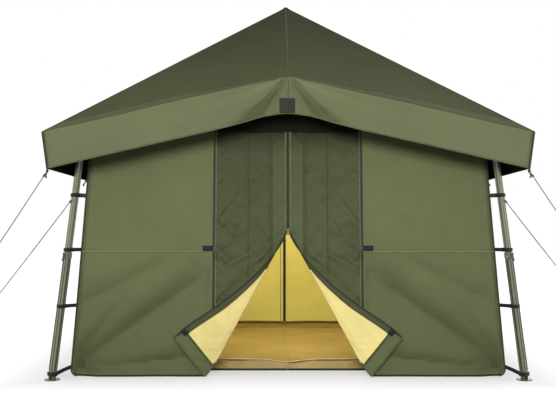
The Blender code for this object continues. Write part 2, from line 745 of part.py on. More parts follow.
def zip_slider(name, x, height, sign):
    """A zip slider with its pull, lying just outside a leaning end wall."""
    lean = math.atan(WALL_LEAN)
    turn = Matrix.Rotation(0 if sign < 0 else math.pi, 4, "Z")
    upright = turn @ Matrix.Rotation(-lean, 4, "X")
    place = Matrix.Translation((x, sign * wall_half(height), height)) @ upright
    back = -SLIDER_DEPTH - 2 * TOUCH_GAP
    half = SLIDER_WIDTH / 2
    body = box((-half, back, -SLIDER_LENGTH), (half, -2 * TOUCH_GAP, 0))
    slider = add(name, body, place, BLACK, 0.35, 0.5)
    bite = PULL_THICKNESS / 2
    pull = box((-half / 2, back - bite, -PULL_LENGTH), (half / 2, back + bite, -half))
    combine(slider, add(f"pull_{name}", pull, place), "UNION")


def ring(name, centre, normal, colour):
    """A closed wire ring about a centre, its axis along normal."""
    bm = bmesh.new()
    section = Matrix.Translation((RING_RADIUS, 0, 0)) @ Matrix.Rotation(math.pi / 2, 4, "X")
    bmesh.ops.create_circle(bm, segments=5, radius=RING_WIRE, matrix=section)
    bmesh.ops.spin(
        bm,
        geom=bm.verts[:] + bm.edges[:],
        cent=(0, 0, 0),
        axis=(0, 0, 1),
        angle=2 * math.pi,
        steps=12,
        use_merge=True,
    )
    bmesh.ops.recalc_face_normals(bm, faces=bm.faces)
    turn = Vector(normal).to_track_quat("Z", "Y").to_matrix().to_4x4()
    return add(name, bm, Matrix.Translation(centre) @ turn, colour, 0.35, 0.8)


def tube_between(name, start, end, radius, colour):
    """A taut rope from start to end, with a slight sag."""
    curve = bpy.data.curves.new(name, "CURVE")
    curve.dimensions = "3D"
    curve.bevel_depth = radius
    curve.bevel_resolution = 2
    curve.use_fill_caps = True
    spline = curve.splines.new("POLY")
    spline.points.add(GUY_STEPS)
    for n, point in enumerate(spline.points):
        share = n / GUY_STEPS
        place = start.lerp(end, share) - Vector((0, 0, 4 * GUY_SAG * share * (1 - share)))
        point.co = (*place, 1)
    obj = bpy.data.objects.new(name, curve)
    PARTS.objects.link(obj)
    paint(obj, colour)


def guy(name, corner, start, clear, reach):
    """A guy rope, clear of a point on the corner's diagonal, towards its anchor at reach, with an end ring."""
    x, y = CORNERS[corner]
    held = Vector((x * start[0], y * start[0], start[1]))
    anchor = Vector((x * reach, y * reach, 0))
    way = (anchor - held).normalized()
    end = held.lerp(anchor, (GUY_END_HALF - start[0]) / (reach - start[0]))
    tube_between(f"guy_{name}", held + way * clear, end, GUY_RADIUS, ROPE)
    centre = end + way * (RING_RADIUS + RING_WIRE + 2 * TOUCH_GAP)
    ring(f"guy_ring_{name}", centre, way.cross(Vector((-y, x, 0))), STEEL)


def canopy():
    roof_panel("roof_front", 0, True)
    roof_panel("roof_right", math.pi / 2, False)
    roof_panel("roof_rear", math.pi, True)
    roof_panel("roof_left", -math.pi / 2, False)
    peak_cap()


def walls():
    front = end_wall("wall_front", -1, True)
    rear = end_wall("wall_rear", 1, False)
    sew_straps(front, -1)
    sew_straps(rear, 1)
    side_wall("wall_left", -1)
    side_wall("wall_right", 1)
    door_leaf("door_leaf_left", -1)
    door_leaf("door_leaf_right", 1)
    floor_half("floor_left", -1)
    floor_half("floor_right", 1)


def frame():
    hub_crown()
    for name, turn, slope, length in arm_turns():
        roof_arm(name, turn, slope, length)
    for corner in CORNERS:
        elbow_bracket(corner)
        leg_tubes(corner)
        clamp(corner)
        foot(corner)


def fittings():
    zip_slider("slider_centre", 0, SLIDER_HEIGHT + SLIDER_LENGTH, -1)
    zip_slider("slider_left", -DOOR_HALF, SIDE_SLIDER_HEIGHT, -1)
    zip_slider("slider_right", DOOR_HALF, SIDE_SLIDER_HEIGHT, -1)
    zip_slider("slider_rear", 0, REAR_SLIDER_HEIGHT, 1)
    hook_half = EAVE_HALF - VALANCE_TUCK
    hook_height = EAVE_HEIGHT - VALANCE_DROP - RING_RADIUS - RING_WIRE - 2 * TOUCH_GAP
    for corner, (x, y) in CORNERS.items():
        centre = Vector((x * hook_half, y * hook_half, hook_height))
        ring(f"corner_hook_{corner}", centre, (-y, x, 0), STEEL)
        if y > 0:
            continue
        side = corner.split("_")[1]
        start = (hook_half, hook_height)
        guy(f"upper_{side}", corner, start, RING_RADIUS + RING_WIRE + 2 * TOUCH_GAP, GUY_ANCHOR_HALF)
        leg = leg_reach(LOWER_GUY_HEIGHT) + LEG_SIDE / 2 / math.cos(LEG_LEAN)
        start = (leg / math.sqrt(2), LOWER_GUY_HEIGHT)
        guy(f"lower_{side}", corner, start, 2 * GUY_RADIUS + TOUCH_GAP, LOWER_GUY_ANCHOR_HALF)


canopy()
walls()
frame()
fittings()
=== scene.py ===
"""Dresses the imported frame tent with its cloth, zips, webbing, ropes and fittings, and lights it."""

import json
import math

import bmesh
import bpy
from bpy.props import FloatProperty, FloatVectorProperty, PointerProperty
from mathutils import Matrix, Vector, noise
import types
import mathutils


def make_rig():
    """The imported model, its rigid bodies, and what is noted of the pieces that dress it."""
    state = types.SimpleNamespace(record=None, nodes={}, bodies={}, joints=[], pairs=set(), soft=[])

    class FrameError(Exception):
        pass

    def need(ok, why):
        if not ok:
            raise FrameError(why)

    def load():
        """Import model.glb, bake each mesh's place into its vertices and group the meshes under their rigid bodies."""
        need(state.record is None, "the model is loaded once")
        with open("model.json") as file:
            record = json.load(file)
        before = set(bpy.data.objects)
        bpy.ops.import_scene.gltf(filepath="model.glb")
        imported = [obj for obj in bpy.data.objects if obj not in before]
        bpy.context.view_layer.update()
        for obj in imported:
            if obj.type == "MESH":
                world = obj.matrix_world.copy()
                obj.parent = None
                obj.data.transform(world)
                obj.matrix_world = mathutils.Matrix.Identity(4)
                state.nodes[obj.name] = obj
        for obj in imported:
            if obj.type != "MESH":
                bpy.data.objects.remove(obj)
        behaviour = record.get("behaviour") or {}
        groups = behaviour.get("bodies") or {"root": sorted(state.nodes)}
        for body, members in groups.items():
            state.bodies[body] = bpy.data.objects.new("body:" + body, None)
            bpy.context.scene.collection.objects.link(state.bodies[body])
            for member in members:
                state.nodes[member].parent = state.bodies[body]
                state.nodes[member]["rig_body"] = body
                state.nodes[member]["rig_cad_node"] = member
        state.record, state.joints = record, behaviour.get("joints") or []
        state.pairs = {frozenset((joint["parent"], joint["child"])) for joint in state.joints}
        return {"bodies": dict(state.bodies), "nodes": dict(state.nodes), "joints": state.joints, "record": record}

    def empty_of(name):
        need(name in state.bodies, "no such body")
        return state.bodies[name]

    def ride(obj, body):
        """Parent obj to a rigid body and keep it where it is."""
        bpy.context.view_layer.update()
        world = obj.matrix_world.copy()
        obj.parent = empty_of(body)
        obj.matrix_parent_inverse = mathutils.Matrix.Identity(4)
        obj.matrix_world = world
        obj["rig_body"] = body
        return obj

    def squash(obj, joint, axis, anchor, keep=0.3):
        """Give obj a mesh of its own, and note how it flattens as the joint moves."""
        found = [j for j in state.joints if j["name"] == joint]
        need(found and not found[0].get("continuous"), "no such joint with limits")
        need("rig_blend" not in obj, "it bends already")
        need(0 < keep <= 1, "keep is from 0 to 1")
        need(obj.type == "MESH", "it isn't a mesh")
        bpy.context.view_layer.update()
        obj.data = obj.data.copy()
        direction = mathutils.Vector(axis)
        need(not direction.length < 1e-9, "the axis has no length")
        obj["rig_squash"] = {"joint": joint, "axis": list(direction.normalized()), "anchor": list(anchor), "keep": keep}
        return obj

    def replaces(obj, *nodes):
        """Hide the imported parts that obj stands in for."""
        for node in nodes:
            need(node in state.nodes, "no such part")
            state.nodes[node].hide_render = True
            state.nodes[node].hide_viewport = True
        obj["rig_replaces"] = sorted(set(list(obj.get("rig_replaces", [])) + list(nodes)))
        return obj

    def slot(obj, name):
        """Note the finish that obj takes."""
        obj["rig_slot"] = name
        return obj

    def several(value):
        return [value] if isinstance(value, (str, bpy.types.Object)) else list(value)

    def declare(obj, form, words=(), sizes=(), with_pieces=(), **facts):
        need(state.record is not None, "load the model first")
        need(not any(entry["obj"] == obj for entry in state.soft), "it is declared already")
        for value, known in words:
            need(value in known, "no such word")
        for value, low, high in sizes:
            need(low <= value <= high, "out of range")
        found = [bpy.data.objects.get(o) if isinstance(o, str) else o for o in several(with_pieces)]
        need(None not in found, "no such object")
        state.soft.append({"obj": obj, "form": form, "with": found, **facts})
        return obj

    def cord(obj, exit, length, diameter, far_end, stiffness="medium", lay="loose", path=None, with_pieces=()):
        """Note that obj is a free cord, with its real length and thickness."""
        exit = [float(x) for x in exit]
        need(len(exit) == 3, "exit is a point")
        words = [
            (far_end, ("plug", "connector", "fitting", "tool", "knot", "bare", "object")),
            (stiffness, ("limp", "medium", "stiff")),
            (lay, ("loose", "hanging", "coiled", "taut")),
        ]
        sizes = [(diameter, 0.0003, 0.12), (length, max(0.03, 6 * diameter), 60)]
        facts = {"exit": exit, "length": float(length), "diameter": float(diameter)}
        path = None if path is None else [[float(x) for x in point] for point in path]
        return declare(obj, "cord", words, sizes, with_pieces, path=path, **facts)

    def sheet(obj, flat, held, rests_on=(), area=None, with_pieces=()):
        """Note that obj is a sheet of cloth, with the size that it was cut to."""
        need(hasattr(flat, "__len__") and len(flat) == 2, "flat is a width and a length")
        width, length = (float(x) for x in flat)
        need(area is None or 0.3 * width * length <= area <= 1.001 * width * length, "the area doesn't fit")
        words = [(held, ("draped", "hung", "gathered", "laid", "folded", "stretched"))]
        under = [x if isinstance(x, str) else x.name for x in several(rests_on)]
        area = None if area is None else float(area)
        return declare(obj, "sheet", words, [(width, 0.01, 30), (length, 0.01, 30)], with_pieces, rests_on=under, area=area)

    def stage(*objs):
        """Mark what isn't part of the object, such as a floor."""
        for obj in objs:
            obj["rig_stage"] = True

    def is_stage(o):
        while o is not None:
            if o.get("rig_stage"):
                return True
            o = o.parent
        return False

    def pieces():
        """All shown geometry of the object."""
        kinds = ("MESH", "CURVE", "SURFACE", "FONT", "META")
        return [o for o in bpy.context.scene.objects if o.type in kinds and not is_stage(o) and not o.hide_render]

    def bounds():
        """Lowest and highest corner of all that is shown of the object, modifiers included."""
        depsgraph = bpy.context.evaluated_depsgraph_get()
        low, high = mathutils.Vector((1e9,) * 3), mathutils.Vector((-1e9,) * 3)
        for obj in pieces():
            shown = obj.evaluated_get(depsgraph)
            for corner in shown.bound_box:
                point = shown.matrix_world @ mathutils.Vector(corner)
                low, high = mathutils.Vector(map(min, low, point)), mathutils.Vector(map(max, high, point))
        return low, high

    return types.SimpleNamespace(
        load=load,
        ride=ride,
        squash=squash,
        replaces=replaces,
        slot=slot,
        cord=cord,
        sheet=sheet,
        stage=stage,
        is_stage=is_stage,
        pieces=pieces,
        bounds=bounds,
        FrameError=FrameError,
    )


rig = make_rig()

bl_info = {
    "name": "Frame Tent Dressing",
    "version": (1, 0, 0),
    "blender": (4, 5, 0),
    "location": "View3D > Sidebar > Tent",
    "description": "Adds cloth, seams, zips, webbing, ropes, fittings and finishes to a frame tent",
    "category": "Add Mesh",
}

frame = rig.load()
CAD_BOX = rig.bounds()
NODES = frame["nodes"]

# The tent's own sizes, as the CAD has them
PEAK = 3.05
EAVE = 1.67
EAVE_Z = 1.68
EAVE_RISE = 0.38
DROP = 0.25
MIDDLE_DROP = 0.27
ARCH = 0.10
TUCK = 0.028
ROOF_START = 0.05
ROOF_SAG = 0.012
SEAM_GAP = 0.0025
WALL = 1.5
LEAN = 0.0591
WALL_TOP_GAP = 0.09
HEM = 0.004
DOOR = 0.52
DOOR_TOP = 1.72
DOOR_FIT = 0.0015
CENTRE_GAP = 0.004
SLIDER_Z = 1.0
APEX_Z = 1.026
FOLD_FOOT = 0.564
FOLD_RADIUS = 0.008
FLAP_REACH = 0.79
FLAP_TIP_Z = 0.273
FLAP_DIP = 0.134
FLAP_STAND_OFF = 0.015
FLAP_LOW = 0.22
LEAF_FOOT = 0.010
LAST = APEX_Z * (1 - (DOOR - DOOR_FIT - LEAF_FOOT - CENTRE_GAP) / (FOLD_FOOT - CENTRE_GAP))
FLOOR = 1.38
FLOOR_DEEP = 1.25
FLOOR_Z = 0.006
LIP = 0.083
LIP_LEAN = 0.015
HUB_Z = 2.95
HUB_PIVOT = 0.085
ARM_RADIUS = 0.013
FOOT_REACH = 1.6015 * math.sqrt(2)
LEG_LEAN = math.radians(7.25)
LEG_SIDE = 0.0362
LOWER_SIDE = 0.0398
COLLAR_SIDE = 0.0466
ELBOW_DROP = 0.045
ELBOW_ALONG = 2.27654
ELBOW_Z = 1.78004
LEG_LENGTH = 1.76011
JOINT_ALONG = 0.93148
JOINT_Z = 0.856
ANKLE_Z = 0.034
CORNER_SLOPE = 0.51987
CORNER_ARM = 2.57147
MIDDLE_ARM_SLOPE = 0.52745
MIDDLE_ARM = 1.78221
RING_RADIUS = 0.013
RING_WIRE = 0.0022
GUY_RADIUS = 0.0030
GUY_ANCHOR = 2.31
LOWER_GUY_ANCHOR = 2.215
GUY_END = 1.95
LOWER_GUY_Z = 1.235
GUY_SAG = 0.004
STRAPS = {"lower": (0.041, 0.493), "upper": (0.8795, 1.26)}
SEAM_Z = 0.865
FOOT_RADIUS = 0.056  # How far a wall's corner draws in at its foot
DOOR_SPREAD = 0.056  # How far the doorway widens at its foot
PULLS = (0.50, 0.8955, 1.26)  # Heights where the straps pull the walls outwards
SIDE_WAVE = 1.2
SIDE_SLIDER_Z = 0.90
REAR_SLIDER_Z = 0.95
TAB_Z = 0.888
TIE_Y = 0.60
PATCH_HALF = 0.054
BAND = 0.112  # Width of the lighter strip along a door leaf's zip
FLAP_BAND = 0.078  # Width of the dark strip along a folded corner's edges, as its UV map counts
CHEEK_IN, CHEEK_OUT, HEAD_OUT, PIN_OUT = 0.0006, 0.0056, 0.0054, 0.0050  # From a square tube's face
PIN_RADIUS = 0.004
STRAP_DEPTH = 0.0016

RING_CLEAR = RING_RADIUS + RING_WIRE + 0.0006
HOOK_OUT = EAVE - TUCK
HOOK_Z = EAVE_Z - DROP - RING_RADIUS - RING_WIRE - 0.0006

SIDE_SLOPE = (PEAK - EAVE_Z) / EAVE
MIDDLE_SLOPE = SIDE_SLOPE - EAVE_RISE / EAVE
CORNERS = {"front_left": (-1, -1), "front_right": (1, -1), "rear_left": (-1, 1), "rear_right": (1, 1)}
ENDS = {"front": -1, "rear": 1}
SIDES = {"left": -1, "right": 1}
TURNS = {"front": 0, "right": math.pi / 2, "rear": math.pi, "left": -math.pi / 2}
FOLD = "arm_fold_front_left"

# Strips over the door: name, height, width
# All of them take the near-black finish over the door, painted shadow under the valance
HEAD = (("head_cover", DOOR_TOP + 0.003, 0.020), ("head_fell", DOOR_TOP + 0.016, 0.004))

# Seams across the walls: name, height, finish, width
SEWN = (
    # The seam's lighter finish is a painted highlight, and the dark strip just below it is a painted shadow
    ("seam", SEAM_Z, "wall_seam", 0.006),
    ("seam_shadow", SEAM_Z - 0.006, "stitched", 0.005),
    ("hem", HEM + 0.006, "binding", 0.012),
)
TO_FRONT = (0, -1, 0)

# How cloth gathers as the frame folds: its axis and the share of its width that it keeps
ALONG_X, ALONG_Y = ((1, 0, 0), 0.2), ((0, 1, 0), 0.2)
CANOPY_X, CANOPY_Y = ((1, 0, 0), 0.227), ((0, 1, 0), 0.227)

# Looks
WAVE_PITCH = 0.314  # A wave texture's pitch in metres at a scale of 1
SHARP = math.radians(35)

# Studio; a lamp has a name, a place, a target, a size and a power
LENS, SENSOR = 48.3, 36.0
CAMERA_PLACE, CAMERA_TILT = (-0.07, -6.70, 0.967), 2.65
LAMPS = (
    ("key", (-0.4, -9.0, 3.6), (0, -1.4, 1.2), 3.3, 500.0),
    ("back", (4.5, 8.0, 6.5), (0, 0.8, 1.2), 3.0, 300.0),
    ("inside", (0, -0.5, 1.9), (0, 0.9, 0.6), 0.7, 38.0),
)
WHITE = (1, 1, 1, 1)


def tint(red, green, blue):
    """A colour of the screen, 0 to 255, as shaders take it."""
    return tuple(((c / 255 + 0.055) / 1.055) ** 2.4 for c in (red, green, blue)) + (1.0,)


def length(name, text, value):
    return FloatProperty(name=name, description=text, default=value, min=0.0, unit="LENGTH", precision=4)


def colour(name, text, *value):
    return FloatVectorProperty(
        name=name, description=text, default=tint(*value), size=4, subtype="COLOR", min=0.0, max=1.0
    )


class TentSizes(bpy.types.PropertyGroup):
    cloth: length("Cloth", "Thickness of the tent cloth", 0.0016)
    fold: length("Wall folds", "Depth of the slanting folds in the end walls", 0.095)
    ruffle: length("Ruffles", "Depth of the small unevenness of the cloth", 0.011)
    seam: length("Seams", "Width of the sewn seams", 0.012)
    webbing: length("Webbing", "Width of the straps round the legs", 0.025)
    tape: length("Zip tape", "Width of the tape beside a zip", 0.009)
    thread: length("Weave", "Pitch of the threads in the cloth", 0.0016)


class TentColours(bpy.types.PropertyGroup):
    roof: colour("Roof", "Dark cloth of the canopy", 74, 78, 50)
    wall: colour("Walls", "Lighter cloth of the walls", 108, 114, 79)
    valance: colour("Valance", "Cloth of the valance", 113, 119, 86)
    door: colour("Door", "Dark cloth of the door's panels", 84, 88, 62)
    band: colour("Door band", "Lighter cloth beside the door's centre zip", 89, 96, 67)
    lining: colour("Lining", "Coated inside of the cloth", 230, 216, 112)
    flap: colour("Folded corner", "Coated inside of the door's folded-out corners", 239, 222, 145)
    floor: colour("Floor", "Coated ground sheet", 174, 146, 74)
    lip: colour("Lip", "Raised lip of the ground sheet", 178, 156, 104)
    lip_shade: colour("Lip shade", "Shaded strip of the lip", 100, 76, 26)
    sill: colour("Sill", "Binding along the ground sheet's lip", 216, 200, 150)
    binding: colour("Binding", "Dark binding along the hems", 36, 40, 27)
    webbing: colour("Webbing", "Straps and tabs", 25, 26, 25)
    patch: colour("Patch", "Bare patch on the valance", 52, 53, 49)
    tape: colour("Zip tape", "Tape beside the zips", 112, 116, 94)
    dark_tape: colour("Dark tape", "Dark tape of the zips", 54, 58, 40)
    coil: colour("Zip coil", "Teeth of the zips", 30, 30, 28)
    plastic: colour("Plastic", "Moulded fittings", 38, 38, 36)
    steel: colour("Steel", "Rings and rivets", 186, 186, 180)
    casting: colour("Casting", "Hub crown", 150, 152, 150)
    paint: colour("Paint", "Painted tube of the frame", 104, 110, 82)
    rope: colour("Rope", "Guy ropes", 84, 84, 80)


def sizes():
    """The sizes that the panel shows."""
    return bpy.context.scene.tent_sizes


# Materials


def shader_node(tree, kind, inputs=None, **settings):
    made = tree.nodes.new(f"ShaderNode{kind}")
    for key, value in settings.items():
        setattr(made, key, value)
    for key, value in (inputs or {}).items():
        if isinstance(value, bpy.types.NodeSocket):
            tree.links.new(value, made.inputs[key])
        else:
            made.inputs[key].default_value = value
    return made


def blank(name, levels):
    """A new material, its node tree and its shader with some inputs set."""
    material = bpy.data.materials.new(name)
    material.use_nodes = True
    shader = material.node_tree.nodes["Principled BSDF"]
    for key, level in levels.items():
        shader.inputs[key].default_value = level
    return material, material.node_tree, shader


def scaled(shade, factor):
    """A lighter or darker shade."""
    return tuple(min(1.0, c * factor) for c in shade[:3]) + (1.0,)


def mixed(tree, factor, first, second):
    """A blend of two colours."""
    return shader_node(tree, "Mix", {0: factor, 6: first, 7: second}, data_type="RGBA").outputs[2]


def arithmetic(tree, operation, first, second=0.0):
    return shader_node(tree, "Math", {0: first, 1: second}, operation=operation).outputs[0]


def within(tree, value, centre, reach):
    """1 where a value is nearer to centre than reach, and 0 elsewhere."""
    return shader_node(tree, "Math", {0: value, 1: centre, 2: reach}, operation="COMPARE").outputs[0]


def ranged(tree, value, source, target=(0.0, 1.0)):
    """A value taken from one range to another."""
    inputs = {
        "Value": value, "From Min": source[0], "From Max": source[1], "To Min": target[0], "To Max": target[1]
    }
    return shader_node(tree, "MapRange", inputs).outputs[0]


def parted(tree, place):
    return shader_node(tree, "SeparateXYZ", {0: place}).outputs


def object_place(tree):
    return shader_node(tree, "TexCoord").outputs["Object"]


def cloth_place(tree):
    """Where a point lies on the cloth, in metres."""
    return shader_node(tree, "UVMap", uv_map="UVMap").outputs[0]


def turned_place(tree, angle):
    return shader_node(tree, "Mapping", {"Vector": cloth_place(tree), "Rotation": (0, 0, angle)}).outputs[0]


def ribs(tree, pitch, way="Y"):
    """The height of ribs across or along the cloth."""
    inputs = {"Vector": cloth_place(tree), "Scale": WAVE_PITCH / pitch}
    return shader_node(tree, "TexWave", inputs, bands_direction=way).outputs["Fac"]


def threads(tree, pitch):
    """The height of a plain weave."""
    return arithmetic(tree, "MULTIPLY", ribs(tree, pitch, "X"), ribs(tree, pitch))


def painted_height_shade(tree, shade, deep, dark):
    """Painted shade: a colour nearing deep from one height to another; dark is the two heights and how near it gets."""
    height = parted(tree, object_place(tree))[2]
    return mixed(tree, ranged(tree, height, dark[:2], (0.0, dark[2])), shade, deep)


def patchy(tree, shade, low=0.87, high=1.12, scale=1.6, dark=None):
    """A colour that varies gently over the surface, with painted shade between two heights where dark is given."""
    inputs = {"Vector": object_place(tree), "Scale": scale, "Detail": 6.0, "Roughness": 0.62}
    spread = ranged(tree, shader_node(tree, "TexNoise", inputs).outputs["Fac"], (0.32, 0.68))
    varied = mixed(tree, spread, scaled(shade, low), scaled(shade, high))
    return painted_height_shade(tree, varied, scaled(shade, 0.25), dark) if dark else varied


def crumple(tree, scale, distortion=0.6):
    """The height of fine creases, sharper than plain noise."""
    inputs = {
        "Vector": object_place(tree), "Scale": scale, "Detail": 5.0, "Roughness": 0.5,
        "Distortion": distortion
    }
    return shader_node(tree, "TexNoise", inputs, noise_type="RIDGED_MULTIFRACTAL").outputs["Fac"]


def drawn(tree, fast, slow):
    """The height of wrinkles that run up towards the door's middle."""
    inputs = {"Vector": turned_place(tree, -math.pi / 4), "Scale": (fast, slow, 1)}
    spread = shader_node(tree, "Mapping", inputs).outputs[0]
    inputs = {"Vector": spread, "Scale": 1.0, "Detail": 3.0, "Roughness": 0.5, "Distortion": 0.5}
    return shader_node(tree, "TexNoise", inputs).outputs["Fac"]


def relief(tree, shader, layers):
    """Bumps laid over each other: each layer is a height, a strength and a depth in metres."""
    normal = None
    for height, strength, depth in layers:
        inputs = {"Height": height, "Strength": strength, "Distance": depth}
        if normal:
            inputs["Normal"] = normal
        normal = shader_node(tree, "Bump", inputs).outputs["Normal"]
    tree.links.new(normal, shader.inputs["Normal"])


def dress(tree, shader, shade, rough=None):
    """Links a colour, and a roughness where it comes as a height with its lowest and highest value."""
    tree.links.new(shade, shader.inputs["Base Color"])
    if rough:
        tree.links.new(ranged(tree, rough[0], (0.0, 1.0), rough[1:]), shader.inputs["Roughness"])


def woven(name, shade, pitch, creases=0.35, scale=7.0, low=0.87, high=1.12, dark=None):
    """Matt coated cloth with threads, fine creases, a gentle change of shade, and painted shade between two heights
    where dark is given.
    """
    levels = {"Sheen Weight": 0.01, "Sheen Roughness": 0.6, "Specular IOR Level": 0.07}
    material, tree, shader = blank(name, levels)
    weave = threads(tree, pitch)
    dress(tree, shader, patchy(tree, shade, low, high, dark=dark), (weave, 0.86, 0.72))
    fine = crumple(tree, 3.1 * scale, 1.0)
    layers = [(crumple(tree, scale), creases, 0.04), (fine, creases, 0.010), (weave, 0.5, 0.0004)]
    relief(tree, shader, layers)
    return material


def two_tone(name, outer, inner, reach, pitch, lines=(), creases=0.5, dark=None):
    """Cloth with a strip of another shade along its free edge, sewn lines at set distances from it, and painted shade
    between two heights where dark is given.
    """
    material, tree, shader = blank(name, {"Sheen Weight": 0.01, "Specular IOR Level": 0.09})
    across = parted(tree, cloth_place(tree))[0]
    strip = arithmetic(tree, "LESS_THAN", across, reach)
    shade = mixed(tree, strip, patchy(tree, inner), patchy(tree, outer))
    weave = threads(tree, pitch)
    broad, fine = drawn(tree, 11.0, 3.0), drawn(tree, 27.0, 9.0)
    layers = [(broad, creases, 0.05), (fine, creases, 0.014), (weave, 0.5, 0.0004)]
    for line in lines:
        shade = mixed(tree, within(tree, across, line, 0.0035), shade, scaled(outer, 0.6))
        layers.append((within(tree, across, line, 0.006), 0.8, 0.002))
    # Painted shade: the cloth darkens between two heights
    if dark:
        shade = painted_height_shade(tree, shade, scaled(inner, 0.25), dark)
    dress(tree, shader, shade, (weave, 0.86, 0.7))
    relief(tree, shader, layers)
    return material


def sewn(name, shade, pitch, row, gloss=0.8):
    """A strip of webbing, seam or tape with a row of stitches on each side of its middle."""
    material, tree, shader = blank(name, {"Sheen Weight": 0.03, "Specular IOR Level": 0.2})
    across, along, _ = parted(tree, cloth_place(tree))
    ribbed = ribs(tree, pitch)
    run = arithmetic(tree, "FRACT", arithmetic(tree, "DIVIDE", along, 0.005))
    dashes = arithmetic(tree, "LESS_THAN", run, 0.62)
    rows = within(tree, arithmetic(tree, "ABSOLUTE", across), row, 0.0006)
    stitch = arithmetic(tree, "MULTIPLY", dashes, rows)
    shade = mixed(tree, stitch, patchy(tree, shade, 0.85, 1.15, 9.0), scaled(shade, 1.5))
    dress(tree, shader, shade, (ribbed, gloss, gloss - 0.15))
    relief(tree, shader, [(ribbed, 0.5, 0.0004), (stitch, 0.7, 0.0006)])
    return material


def hard(name, shade, roughness, metallic=0.0, coat=0.0, speckle=60.0, depth=0.0002, wear=0.25):
    """Paint, plastic or metal with a fine texture, slight wear and a change of gloss."""
    material, tree, shader = blank(name, {"Metallic": metallic, "Coat Weight": coat, "Coat Roughness": 0.15})
    inputs = {"Vector": object_place(tree), "Scale": speckle, "Detail": 4.0}
    fine = shader_node(tree, "TexNoise", inputs).outputs["Fac"]
    worn = ranged(tree, crumple(tree, 11.0, 1.2), (0.75, 1.5), (0.0, wear))
    shade = mixed(tree, worn, patchy(tree, shade, 0.9, 1.08, 5.0), scaled(shade, 1.5))
    dress(tree, shader, shade, (fine, roughness - 0.07, roughness + 0.1))
    relief(tree, shader, [(fine, 0.3, depth)])
    return material


def toothed(name, shade, pitch=0.0026):
    """The coil of a zip."""
    material, tree, shader = blank(name, {"Roughness": 0.4})
    teeth = ribs(tree, pitch)
    dress(tree, shader, mixed(tree, teeth, scaled(shade, 0.5), scaled(shade, 1.4)))
    relief(tree, shader, [(teeth, 0.9, 0.0012)])
    return material


def laid_rope(name, shade):
    """A braided cord, whose strands cross."""
    material, tree, shader = blank(name, {"Roughness": 0.85, "Sheen Weight": 0.2})
    strands = []
    for way in (1, -1):
        inputs = {"Vector": turned_place(tree, way * math.radians(50)), "Scale": 105.0}
        strands.append(shader_node(tree, "TexWave", inputs).outputs["Fac"])
    braid = arithmetic(tree, "MAXIMUM", *strands)
    dress(tree, shader, mixed(tree, braid, scaled(shade, 0.55), scaled(shade, 1.15)))
    relief(tree, shader, [(braid, 0.8, 0.0007)])
    return material


